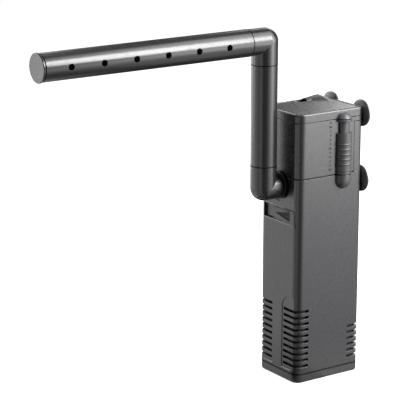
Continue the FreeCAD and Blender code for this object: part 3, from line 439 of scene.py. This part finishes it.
def elbow_plastic():
    """Glossy moulded plastic with a fine parting line in the plane of the elbow."""
    f = Finish("elbow_plastic")
    broad = f.noise(20 * MM, 2)
    line = abs(f.x) < PARTING_HALF
    tone = f.blend(0.3 * broad, PIPE_GREY, PIPE_DARK)
    rough = 0.24 + 0.06 * f.scuffs(8 * MM) + 0.04 * broad
    normal = f.bump(line, 0.03 * MM, f.bump(broad, 0.06 * MM, f.soft_edge(PIPE_EDGE)))
    return f.surface(Base_Color=tone, Roughness=rough, Normal=normal, Specular_IOR_Level=GLOSS)


def cup_rubber():
    """Soft glossy rubber with a slight bloom and the faint unevenness of its mould."""
    f = Finish("cup_rubber")
    bloom = f.noise(6 * MM, 4)
    tone = f.blend(0.7 * bloom, RUBBER_BLACK, RUBBER_BLOOM)
    rough = 0.3 + 0.14 * bloom
    normal = f.bump(f.noise(0.6 * MM, 2), 0.012 * MM, f.bump(bloom, 0.04 * MM))
    return f.surface(Base_Color=tone, Roughness=rough, Normal=normal, IOR=1.8,
                     Specular_IOR_Level=GLOSS)


def seal_rubber():
    """Dull rubber of the inner seals, the bushes and the gland."""
    f = Finish("seal_rubber")
    speck = f.noise(1.5 * MM, 4)
    tone = f.blend(speck, RUBBER_BLACK, RUBBER_DARK)
    rough = 0.55 + 0.15 * speck
    return f.surface(Base_Color=tone, Roughness=rough, Normal=f.bump(speck, 0.02 * MM))


def gap_shadow_paint():
    """Painted shadow: matt near-black for the rings in the pipes' joints and the strip in the
    base's seam.
    """
    f = Finish("gap_shadow_paint")
    speck = f.noise(1 * MM, 3)
    tone = f.blend(0.3 * speck, GAP_SHADOW_BLACK, FOAM_BLACK)
    return f.surface(Base_Color=tone, Roughness=0.7 + 0.1 * speck, Specular_IOR_Level=0.04)


def rim_highlight_paint():
    """Painted highlight: lighter plastic on the rim of the outlet's collar, for the light its edge
    catches.
    """
    f = Finish("rim_highlight_paint")
    mottle = f.noise(2 * MM, 3)
    tone = f.blend(0.3 * mottle, RIM_HIGHLIGHT_GREY, SHELL_GREY)
    return f.surface(Base_Color=tone, Roughness=0.4 + 0.1 * mottle)


def inner_plastic():
    """Black moulded plastic of the inner pieces, with a fine haze and flow marks."""
    f = Finish("inner_plastic")
    flow = f.noise(20 * MM, 3, (1, 1, 0.4))
    tone = f.blend(flow, INNER_BLACK, INNER_GREY)
    normal = f.bump(f.noise(0.4 * MM, 2), 0.02 * MM)
    return f.surface(Base_Color=tone, Roughness=0.35 + 0.15 * flow, Normal=normal)


def open_foam():
    """Black open-cell foam: round pores with lighter struts between them."""
    f = Finish("open_foam")
    struts = f.ramp(f.cells(1.6 * MM), (0.25, 0.0), (0.6, 1.0))
    tone = f.blend(struts, FOAM_BLACK, FOAM_EDGE)
    rough = 0.85 + 0.1 * struts
    return f.surface(Base_Color=tone, Roughness=rough, Normal=f.bump(struts, 0.6 * MM))


def ground_ceramic():
    """White ceramic ground across its length."""
    f = Finish("ground_ceramic")
    grind = f.noise(0.2 * MM, 2, (0.1, 0.1, 1))
    tone = f.blend(0.3 * grind, CERAMIC_WHITE, CERAMIC_DULL)
    rough = 0.2 + 0.1 * grind
    return f.surface(Base_Color=tone, Roughness=rough, Normal=f.bump(grind, 0.004 * MM))


def sintered_ferrite():
    """Dark sintered magnet with a faint grain."""
    f = Finish("sintered_ferrite")
    grain = f.cells(0.5 * MM)
    tone = f.blend(grain, FERRITE_GREY, FERRITE_PALE)
    rough = 0.42 + 0.15 * grain
    return f.surface(Base_Color=tone, Roughness=rough, Normal=f.bump(grain, 0.02 * MM))


def core_sheets():
    """Stacked steel sheets, seen as fine lines with a thin dark joint at each sheet."""
    f = Finish("core_sheets")
    joint = abs((f.z * (1 / CORE_SHEET)) % 1.0 - 0.5) > 0.42
    tone = f.blend(0.7 * joint, STEEL_GREY, STEEL_JOINT)
    rough = 0.35 + 0.2 * f.noise(3 * MM, 3)
    normal = f.bump(1 - joint, 0.05 * MM)
    return f.surface(Base_Color=tone, Metallic=0.9, Roughness=rough, Normal=normal)


def enamelled_wire():
    """Copper wire under clear enamel."""
    f = Finish("enamelled_wire")
    heat = f.noise(4 * MM, 3)
    tone = f.blend(heat, COPPER, COPPER_DARK)
    return f.surface(Base_Color=tone, Metallic=0.85, Roughness=0.28 + 0.1 * heat)


def cast_resin():
    """Black resin, level and glossy with a few small bubbles."""
    f = Finish("cast_resin")
    bubbles = f.ramp(f.cells(6 * MM), (0.05, 1.0), (0.09, 0.0))
    wave = f.noise(20 * MM, 1)
    tone = f.blend(0.4 * wave, RESIN_BLACK, RESIN_GREY)
    normal = f.bump(wave, 0.2 * MM, f.bump(1 - bubbles, 0.1 * MM))
    return f.surface(Base_Color=tone, Roughness=0.12 + 0.3 * bubbles, Normal=normal)


def mark_paint():
    """Dark pad-printed ticks, a little worn."""
    f = Finish("mark_paint")
    worn = f.noise(1 * MM, 3)
    tone = f.blend(worn, MARK_GREY, MARK_WORN)
    return f.surface(Base_Color=tone, Roughness=0.6 + 0.2 * worn, Specular_IOR_Level=0.1)


def dress(finish, *nodes):
    """Gives a finish to CAD nodes, in place of the plain one that they come with."""
    for name in nodes:
        mesh = frame["nodes"][name].data
        mesh.materials.clear()
        mesh.materials.append(finish)


def new_piece(name, mesh, finish, body):
    """A piece at the origin that rides a body."""
    piece = bpy.data.objects.new(name, mesh)
    bpy.context.collection.objects.link(piece)
    mesh.materials.clear()
    mesh.materials.append(finish)
    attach(piece, body)
    return piece


def bridge(bm, first, second):
    """Joins two closed loops of corners by a band of faces."""
    for n in range(len(first)):
        m = (n + 1) % len(first)
        bm.faces.new((first[n], first[m], second[m], second[n]))


def made_mesh(bm, name):
    """Ends the work on a shape: it becomes a mesh."""
    mesh = bpy.data.meshes.new(name)
    bm.to_mesh(mesh)
    bm.free()
    return mesh


def closed_mesh(bm, name):
    """The same for a closed shape, with all its faces turned outwards."""
    bmesh.ops.recalc_face_normals(bm, faces=bm.faces)
    return made_mesh(bm, name)


def sponge_block(finish):
    """The sponge: a rounded block with a bore for the intake tube, its skin broken up by pores."""
    low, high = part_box("filter_sponge")
    hole_low, hole_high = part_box("intake_tube")
    centre_y = (hole_low.y + hole_high.y) / 2
    bore = (hole_high.x - hole_low.x) / 2 + SPONGE_GAP
    half_x, half_y = (high.x - low.x) / 2, (high.y - low.y) / 2
    middle = (low + high) / 2
    rows = max(2, round((high.z - low.z) / SPONGE_ROW))
    bm = bmesh.new()

    def outer(angle):
        """A point of the rounded rectangle, in the direction of an angle from the bore."""
        start = Vector((0, centre_y))
        way = Vector((math.cos(angle), math.sin(angle)))
        near, far = 0.0, 0.1
        for _ in range(24):
            mid = (near + far) / 2
            p = start + way * mid
            dx = abs(p.x - middle.x) - (half_x - SPONGE_CORNER)
            dy = abs(p.y - middle.y) - (half_y - SPONGE_CORNER)
            gap = math.hypot(max(dx, 0), max(dy, 0)) + min(max(dx, dy), 0) - SPONGE_CORNER
            near, far = (mid, far) if gap < 0 else (near, mid)
        return start + way * near

    def height(row):
        return low.z + (high.z - low.z) * row / rows

    def roughen(p, inward):
        """Draws a point of the skin in by up to the pores' depth, which breaks the outline."""
        deep = 0.5 + 0.5 * noise.noise(p * PORES_PER_METRE)
        return p + inward * (PORE_DEPTH * deep)

    def ring(points, z, lean, tuck):
        """A level loop of corners, tucked in: lean is 1 on the outside and -1 in the bore."""
        corners = []
        for q in points:
            p = Vector((q.x, q.y, z))
            out = Vector((q.x, q.y - centre_y, 0)).normalized()
            p -= out * (lean * tuck)
            corners.append(bm.verts.new(roughen(p, -lean * out)))
        return corners

    turns = [2 * math.pi * n / SPONGE_SIDES for n in range(SPONGE_SIDES)]
    rim = [outer(turn) for turn in turns]
    hole = [Vector((bore * math.cos(turn), centre_y + bore * math.sin(turn))) for turn in turns]
    outside = []
    for row in range(rows + 1):
        tuck = SPONGE_TUCK if row in (0, rows) else 0.0
        outside.append(ring(rim, height(row), 1, tuck))
    inside = [ring(hole, height(row), -1, 0.0) for row in range(rows, -1, -1)]
    top, bottom = [], []
    for lane in range(1, SPONGE_LANES):
        points = [a.lerp(b, lane / SPONGE_LANES) for a, b in zip(rim, hole)]
        for side, z, made in ((1, high.z, top), (-1, low.z, bottom)):
            inward = Vector((0, 0, -side))
            made.append([bm.verts.new(roughen(Vector((q.x, q.y, z)), inward)) for q in points])
    loops = outside + top + inside + bottom[::-1]
    for a, b in zip(loops, loops[1:] + loops[:1]):
        bridge(bm, a, b)
    mesh = closed_mesh(bm, "sponge_block")
    piece = new_piece("sponge_block", mesh, finish, "canister")
    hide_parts("filter_sponge")


def hood_sweep(finish):
    """The skin that sweeps from the cable hood's ridge down to the panel of the top cover."""

    def swell(share):
        """A smooth fall from 1 to 0 as a share goes from 0 to 1."""
        return 0.5 + 0.5 * math.cos(math.pi * min(max(share, 0.0), 1.0))

    bm = bmesh.new()
    top, foot = [], []
    for sheet in (top, foot):
        for row in range(SWEEP_ROWS + 1):
            y = SWEEP_FRONT + (SWEEP_BACK - SWEEP_FRONT) * row / SWEEP_ROWS
            width = SWEEP_NARROW + (SWEEP_WIDE - SWEEP_NARROW) * row / SWEEP_ROWS
            ridge = HOOD_PEAK - HOOD_SLOPE * max(HOOD_PEAK_Y - y, 0.0)
            rise = (ridge - PANEL_Z) * swell((y - HOOD_PEAK_Y) / (SWEEP_BACK - HOOD_PEAK_Y))
            rise *= 1 - swell((y - SWEEP_FRONT) / SWEEP_START)
            made = []
            for column in range(SWEEP_COLUMNS + 1):
                share = column / SWEEP_COLUMNS
                lift = (rise + SWEEP_SINK) * swell(share) if sheet is top else -SWEEP_SINK
                x = HOOD_RIDGE_X + width * share
                made.append(bm.verts.new((x, y, PANEL_Z - SWEEP_SINK + lift)))
            sheet.append(made)
    for row in range(SWEEP_ROWS):
        for column in range(SWEEP_COLUMNS):
            a, b = (row, column), (row, column + 1)
            c, d = (row + 1, column + 1), (row + 1, column)
            bm.faces.new([top[r][k] for r, k in (a, b, c, d)])
            bm.faces.new([foot[r][k] for r, k in (d, c, b, a)])
    border = [(0, k) for k in range(SWEEP_COLUMNS)]
    border += [(r, SWEEP_COLUMNS) for r in range(SWEEP_ROWS)]
    border += [(SWEEP_ROWS, k) for k in range(SWEEP_COLUMNS, 0, -1)]
    border += [(r, 0) for r in range(SWEEP_ROWS, 0, -1)]
    bridge(bm, [foot[r][k] for r, k in border], [top[r][k] for r, k in border])
    mesh = closed_mesh(bm, "hood_sweep")
    mesh.polygons.foreach_set("use_smooth", [True] * len(mesh.polygons))
    new_piece("hood_sweep", mesh, finish, "pump_head")


def lip_strip(name, finish, body, front, corners, sections):
    """A slim lip on a face that looks forward, with a section at each (place, outward way)."""
    bm = bmesh.new()
    rings = []
    for (x, z, out_x, out_z), section in zip(corners, sections):
        rings.append([bm.verts.new((x + out_x * u * MM, front - v * MM, z + out_z * u * MM))
                      for u, v in section])
    for a, b in zip(rings, rings[1:]):
        bridge(bm, a, b)
    bm.faces.new(rings[0])
    bm.faces.new(rings[-1])
    new_piece(name, closed_mesh(bm, name), finish, body)


def front_lips(finish):
    """The lips round the window, along the top of the flow plate and under the two pockets."""
    low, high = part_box("flow_slider")
    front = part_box("base_cap")[0].y
    foot, top = low.z + PLATE_RAIL, high.z - PLATE_RAIL
    corners = [(-WINDOW_HALF, top, 0, 1), (WINDOW_HALF, top, 1, 1),
               (WINDOW_HALF, foot, 1, -1), (-WINDOW_HALF, foot, 0, -1)]
    sections = (LIP_BEAD, LIP_BEAD, LIP_DRIP, LIP_DRIP)
    lip_strip("window_lip", finish, "canister", front, corners, sections)
    corners = [(low.x, top - PLATE_GAP, 0, -1), (high.x - PLATE_GRIP, top - PLATE_GAP, 0, -1)]
    sections = (LIP_PLATE, LIP_PLATE)
    lip_strip("plate_lip", finish, "flow_plate", low.y + PLATE_SUNK, corners, sections)
    for name, side in (("pocket_lip_left", -1), ("pocket_lip_right", 1)):
        corners = [(side * x, POCKET_FOOT, 0, -1) for x in (POCKET_INNER, POCKET_OUTER)]
        lip_strip(name, finish, "canister", front, corners, (LIP_POCKET, LIP_POCKET))


def base_seam_shadow(finish):
    """A dark strip between the base and the canister that follows the body's outline: a painted
    shadow.
    """
    low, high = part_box("base_cap")

    def outline(proud):
        """The body's outline with its round corners, moved outwards by a distance."""
        points = []
        for turn, side_x, side_y in ((-180, -1, -1), (-90, 1, -1), (0, 1, 1), (90, -1, 1)):
            radius = CORNER_RADIUS if side_y < 0 else BACK_CORNER_RADIUS
            x = (high.x - radius) * side_x
            y = high.y - radius if side_y > 0 else low.y + radius
            reach = radius + proud
            for n in range(CORNER_STEPS + 1):
                angle = math.radians(turn + 90 * n / CORNER_STEPS)
                points.append((x + reach * math.cos(angle), y + reach * math.sin(angle)))
        return points

    outer, inner = outline(SEAM_PROUD), outline(SEAM_PROUD - SEAM_WIDTH)
    section = ((outer, SEAM_FOOT), (outer, SEAM_TOP), (inner, SEAM_TOP), (inner, SEAM_FOOT))
    bm = bmesh.new()
    loops = [[bm.verts.new((x, y, z)) for x, y in points] for points, z in section]
    for a, b in zip(loops, loops[1:] + loops[:1]):
        bridge(bm, a, b)
    new_piece("base_seam_shadow", closed_mesh(bm, "base_seam_shadow"), finish, "canister")


def joint_ring(name, finish, body, centre, radius, turned):
    """A slim ring round a pipe that stands upright, or is turned to lie along the bar."""
    section = [(radius - RING_SINK, -RING_HALF), (radius + RING_PROUD, -RING_HALF),
               (radius + RING_PROUD, RING_HALF), (radius - RING_SINK, RING_HALF)]
    bm = bmesh.new()
    rings = []
    for n in range(RING_SIDES):
        turn = 2 * math.pi * n / RING_SIDES
        across, along = math.cos(turn), math.sin(turn)
        rings.append([bm.verts.new((r * across, r * along, h)) for r, h in section])
    for a, b in zip(rings, rings[1:] + rings[:1]):
        bridge(bm, a, b)
    mesh = closed_mesh(bm, name)
    if turned:
        mesh.transform(Matrix.Rotation(math.pi / 2, 4, "X"))
    mesh.transform(Matrix.Translation(centre))
    new_piece(name, mesh, finish, body)


def joint_rings(finish):
    """Dark rings at both ends of the riser and at the bar's joint with the upper elbow: painted
    shadows.
    """
    bar_low, bar_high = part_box("spray_bar")
    tube_low, tube_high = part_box("riser_tube")
    top_low, top_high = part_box("upper_elbow")
    foot_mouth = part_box("lower_elbow")[1].z
    bar, tube = (bar_low + bar_high) / 2, (tube_low + tube_high) / 2
    wide, slim = (bar_high.x - bar_low.x) / 2, (top_high.x - top_low.x) / 2
    centre = (bar.x, top_low.y + RING_SHIFT, bar.z)
    joint_ring("bar_joint_ring", finish, "top_elbow", centre, wide, turned=True)
    centre = (tube.x, tube.y, top_low.z + RING_SHIFT)
    joint_ring("riser_top_ring", finish, "top_elbow", centre, slim, turned=False)
    centre = (tube.x, tube.y, foot_mouth - RING_SHIFT)
    joint_ring("riser_foot_ring", finish, "outlet_elbow", centre, slim, turned=False)


def collar_rim_highlight(finish):
    """A pale ring on the rim of the collar that the lower elbow stands against: a painted
    highlight.
    """
    housing_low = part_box("head_housing")[0]
    centre = (0, housing_low.y - COLLAR_STAND + RING_HALF, OUTLET_Z)
    joint_ring("collar_rim_highlight", finish, "pump_head", centre, COLLAR_RADIUS, turned=True)


def tree_with_inputs(name, inputs):
    """A Geometry Nodes tree with named inputs, the graph that builds it, and its input node."""
    tree = bpy.data.node_groups.new(name, "GeometryNodeTree")
    tree.interface.new_socket("Geometry", in_out="OUTPUT", socket_type="NodeSocketGeometry")
    for label, kind in inputs.items():
        tree.interface.new_socket(label, in_out="INPUT", socket_type="NodeSocket" + kind)
    graph = Graph(tree)
    return tree, graph, graph.node("NodeGroupInput")


def end_in_row(g, given, shape, axis, scale=(1, 1, 1)):
    """Ends a tree: the shape is set out in a row along an axis, made real and given its finish."""
    offset = g.node("ShaderNodeCombineXYZ", {}, {axis: given["Pitch"]})["Vector"]
    sockets = {"Count": given["Count"], "Offset": offset}
    row = g.node("GeometryNodeMeshLine", {"mode": "OFFSET"}, sockets)["Mesh"]
    sockets = {"Points": row, "Instance": shape, "Scale": scale}
    placed = g.node("GeometryNodeInstanceOnPoints", {}, sockets)["Instances"]
    real = g.node("GeometryNodeRealizeInstances", {}, {"Geometry": placed})["Geometry"]
    sockets = {"Geometry": real, "Material": given["Finish"]}
    dressed = g.node("GeometryNodeSetMaterial", {}, sockets)["Geometry"]
    g.node("NodeGroupOutput", {}, {"Geometry": dressed})


def grown_mesh(name, tree, values):
    """Runs a tree with its inputs set by their identifiers: the result, as a plain mesh."""
    holder = bpy.data.objects.new(name + "_holder", bpy.data.meshes.new(name + "_holder"))
    bpy.context.collection.objects.link(holder)
    modifier = holder.modifiers.new("grow", "NODES")
    modifier.node_group = tree
    for item in tree.interface.items_tree:
        if item.in_out == "INPUT":
            modifier[item.identifier] = values[item.name]
    evaluated = holder.evaluated_get(bpy.context.evaluated_depsgraph_get())
    mesh = bpy.data.meshes.new_from_object(evaluated)
    mesh.name = name
    bpy.data.objects.remove(holder)
    return mesh


def tick_tree():
    """A row of short ticks up the Z axis: every fifth is longer."""
    inputs = {"Count": "Int", "Pitch": "Float", "Length": "Float", "Width": "Float",
              "Height": "Float", "Finish": "Material"}
    tree, g, given = tree_with_inputs("tick_row", inputs)
    sockets = {"X": given["Height"], "Y": given["Length"], "Z": given["Width"]}
    size = g.node("ShaderNodeCombineXYZ", {}, sockets)["Vector"]
    tick = g.node("GeometryNodeMeshCube", {}, {"Size": size})["Mesh"]
    fifth = (g.node("GeometryNodeInputIndex")["Index"] % 5.0) < 0.5
    sockets = {"X": 1.0, "Y": 1 + TICK_EXTRA * fifth, "Z": 1.0}
    scale = g.node("ShaderNodeCombineXYZ", {}, sockets)["Vector"]
    end_in_row(g, given, tick, "Z", scale)
    return tree


def level_ticks(finish):
    """The row of small ticks on the right of the pump head, in front of the latch."""
    housing_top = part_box("head_housing")[1].z
    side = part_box("base_cap")[1].x
    values = {"Count": TICK_COUNT, "Pitch": TICK_PITCH, "Length": TICK_LENGTH,
              "Width": TICK_WIDTH, "Height": TICK_HEIGHT, "Finish": finish}
    mesh = grown_mesh("level_ticks", tick_tree(), values)
    mesh.transform(Matrix.Translation((side, TICK_Y, housing_top - TICK_DROP)))
    new_piece("level_ticks", mesh, finish, "pump_head")


def winding_tree():
    """Turns of wire side by side along X, each a rounded rectangle in the YZ plane."""
    inputs = {"Count": "Int", "Pitch": "Float", "Depth": "Float", "Height": "Float",
              "Corner": "Float", "Wire": "Float", "Finish": "Material"}
    tree, g, given = tree_with_inputs("wire_turns", inputs)
    sockets = {"Width": given["Depth"], "Height": given["Height"]}
    kind = "GeometryNodeCurvePrimitiveQuadrilateral"
    path = g.node(kind, {"mode": "RECTANGLE"}, sockets)["Curve"]
    sockets = {"Curve": path, "Radius": given["Corner"], "Count": 4}
    path = g.node("GeometryNodeFilletCurve", {"mode": "POLY"}, sockets)["Curve"]
    sockets = {"Resolution": 6, "Radius": given["Wire"]}
    wire = g.node("GeometryNodeCurvePrimitiveCircle", {}, sockets)["Curve"]
    sockets = {"Curve": path, "Profile Curve": wire}
    turn = g.node("GeometryNodeCurveToMesh", {}, sockets)["Mesh"]
    sockets = {"Geometry": turn, "Rotation": (math.pi / 2, 0, math.pi / 2)}
    turn = g.node("GeometryNodeTransform", {}, sockets)["Geometry"]
    end_in_row(g, given, turn, "X")
    return tree


def wound_coil(finish):
    """The coil's outer layer of wire, just proud of the plain winding and inside the bobbin."""
    low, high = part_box("coil_winding")
    pitch = 2 * WIRE_RADIUS
    turns = int((high.x - low.x) / pitch)
    grow = 2 * WIRE_PROUD - pitch
    values = {"Count": turns, "Pitch": pitch, "Depth": high.y - low.y + grow,
              "Height": high.z - low.z + grow, "Corner": COIL_CORNER, "Wire": WIRE_RADIUS,
              "Finish": finish}
    mesh = grown_mesh("wound_coil", winding_tree(), values)
    middle = (low + high) / 2
    start = middle.x - WIRE_RADIUS * (turns - 1)
    mesh.transform(Matrix.Translation((start, middle.y, middle.z)))
    new_piece("wound_coil", mesh, finish, "pump_head")


def floor_finish():
    """White floor with the object's shadow. In reflections it is white, and dimmer by the foot:
    painted shade.
    """
    f = Finish("studio_floor")
    light = f.node("ShaderNodeLightPath")
    white = f.blend(f.noise(0.4, 2), FLOOR_WHITE, FLOOR_PALE)
    lit = f.node("ShaderNodeBsdfDiffuse", {}, {"Color": white})["BSDF"]
    sockets = {"Color": PURE_WHITE, "Strength": FLOOR_GLOW}
    glow = f.node("ShaderNodeEmission", {}, sockets)["Emission"]
    plain = f.node("ShaderNodeAddShader", {}, {0: lit, 1: glow})[0]
    # Painted shade: in reflections the floor is dimmer near the foot, most on the +x side
    sheen_with_painted_shade = f.ramp(0.5 + 0.5 * f.x, *[(0.5 + 0.5 * x, bright) for x, bright in FLOOR_SHEEN])
    sheen = f.node("ShaderNodeEmission", {}, {"Color": sheen_with_painted_shade, "Strength": 1.0})["Emission"]
    dim = f.node("ShaderNodeBsdfDiffuse", {}, {"Color": CLOTH_BLACK})["BSDF"]
    sockets = {0: light["Is Camera Ray"], 1: dim, 2: plain}
    seen = f.node("ShaderNodeMixShader", {}, sockets)[0]
    mirrored = light["Is Glossy Ray"] + light["Is Transmission Ray"]
    seen = f.node("ShaderNodeMixShader", {}, {0: mirrored, 1: seen, 2: sheen})[0]
    f.node("ShaderNodeOutputMaterial", {}, {"Surface": seen})
    return f.material


def cloth_finish():
    """Dull black cloth with a faint weave."""
    f = Finish("dark_cloth")
    tone = f.blend(f.noise(10 * MM, 2), CLOTH_BLACK, CLOTH_GREY)
    return f.surface(Base_Color=tone, Roughness=0.9)


def stage_piece(name, mesh, finish, drop):
    """A piece of the studio, set just under the object's foot by a distance."""
    mesh.transform(Matrix.Translation((0, 0, -drop)))
    mesh.materials.append(finish)
    piece = bpy.data.objects.new(name, mesh)
    bpy.context.collection.objects.link(piece)
    return piece


def floor():
    """A wide round floor under the foot."""
    bm = bmesh.new()
    bmesh.ops.create_circle(bm, cap_ends=True, segments=96, radius=FLOOR_RADIUS)
    stage_piece("floor", made_mesh(bm, "floor"), floor_finish(), FLOOR_DROP)


def dark_surround():
    """A dark dome and dark floor cards, as in a photo studio, that only reflections see."""
    bm = bmesh.new()
    bmesh.ops.create_uvsphere(bm, u_segments=48, v_segments=24, radius=DOME_RADIUS)
    bmesh.ops.reverse_faces(bm, faces=bm.faces)
    for corners in DARK_CARDS:
        bm.faces.new([bm.verts.new((x, y, 0)) for x, y in corners])
    mesh = made_mesh(bm, "dark_surround")
    piece = stage_piece("dark_surround", mesh, cloth_finish(), CARD_DROP)
    piece.visible_camera = piece.visible_diffuse = False
    piece.visible_shadow = piece.visible_transmission = False


def world():
    """A white surround where it is seen, and a dim one where it lights the object."""
    made = bpy.data.worlds.new("studio")
    made.use_nodes = True
    bpy.context.scene.world = made
    g = Graph(made.node_tree)
    g.tree.nodes.clear()
    light = g.node("ShaderNodeLightPath")
    direct = light["Is Camera Ray"] + light["Is Glossy Ray"] + light["Is Transmission Ray"]
    sockets = {"Color": PURE_WHITE, "Strength": WORLD_FILL + (1 - WORLD_FILL) * direct}
    back = g.node("ShaderNodeBackground", {}, sockets)["Background"]
    g.node("ShaderNodeOutputWorld", {}, {"Surface": back})


def lamp(name, turn, rise, distance, height, size, power):
    """A rectangular soft lamp that faces a point of the object's axis."""
    turn, rise = math.radians(turn), math.radians(rise)
    level = math.cos(rise)
    way = Vector((level * math.cos(turn), level * math.sin(turn), math.sin(rise)))
    data = bpy.data.lights.new(name, "AREA")
    data.shape = "RECTANGLE"
    data.size, data.size_y = size
    data.energy = power
    made = bpy.data.objects.new(name, data)
    bpy.context.collection.objects.link(made)
    made.visible_camera = False
    made.location = Vector((0, 0, height)) + distance * way
    made.rotation_euler = (-way).to_track_quat("-Z", "Y").to_euler()


def camera():
    """The camera, at the photograph's viewing angle."""
    data = bpy.data.cameras.new("camera")
    data.lens = CAMERA_LENS
    data.sensor_width = SENSOR_WIDTH
    data.clip_start, data.clip_end = CAMERA_NEAR, CAMERA_FAR
    made = bpy.data.objects.new("camera", data)
    bpy.context.collection.objects.link(made)
    made.location = CAMERA_PLACE
    made.rotation_euler = CAMERA_LOOK.to_track_quat("-Z", "Y").to_euler()
    bpy.context.scene.camera = made


def dress_nodes(shell, wire):
    """Gives every CAD node its finish, except the sponge, which a piece stands for."""
    dress(shell, "canister_shell", "base_cap", "head_housing", "top_cover")
    dress(latch_plastic(), "latch_clip_left", "latch_clip_right")
    dress(slider_plastic(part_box("flow_slider")[0].y + PLATE_SUNK), "flow_slider")
    dress(pipe_plastic("riser_plastic", "Z"), "riser_tube")
    dress(pipe_plastic("bar_plastic", "Y"), "spray_bar")
    dress(elbow_plastic(), "lower_elbow", "upper_elbow", "bar_end_cap")
    dress(cup_rubber(), "suction_cup_lower_left", "suction_cup_lower_right",
          "suction_cup_upper_left", "suction_cup_upper_right")
    dress(seal_rubber(), "cable_gland", "head_seal", "outlet_ring",
          "shaft_bush_lower", "shaft_bush_upper")
    dress(inner_plastic(), "intake_tube", "pump_chamber", "impeller_cover",
          "impeller", "coil_bobbin")
    dress(ground_ceramic(), "rotor_shaft")
    dress(sintered_ferrite(), "magnet_rotor")
    dress(core_sheets(), "stator_core")
    dress(wire, "coil_winding")
    dress(cast_resin(), "motor_resin")


def add_pieces(shell, wire):
    """Adds the pieces that only the visual model has."""
    sponge_block(open_foam())
    hood_sweep(shell)
    front_lips(shell)
    dark = gap_shadow_paint()
    joint_rings(dark)
    collar_rim_highlight(rim_highlight_paint())
    base_seam_shadow(dark)
    level_ticks(mark_paint())
    wound_coil(wire)


def studio():
    """The floor, the surround, the lamps and the camera."""
    floor()
    dark_surround()
    world()
    for row in LAMPS:
        lamp(*row)
    camera()
    bpy.context.scene.view_settings.view_transform = "Standard"


shell_finish, wire_finish = shell_plastic(), enamelled_wire()
dress_nodes(shell_finish, wire_finish)
add_pieces(shell_finish, wire_finish)
studio()
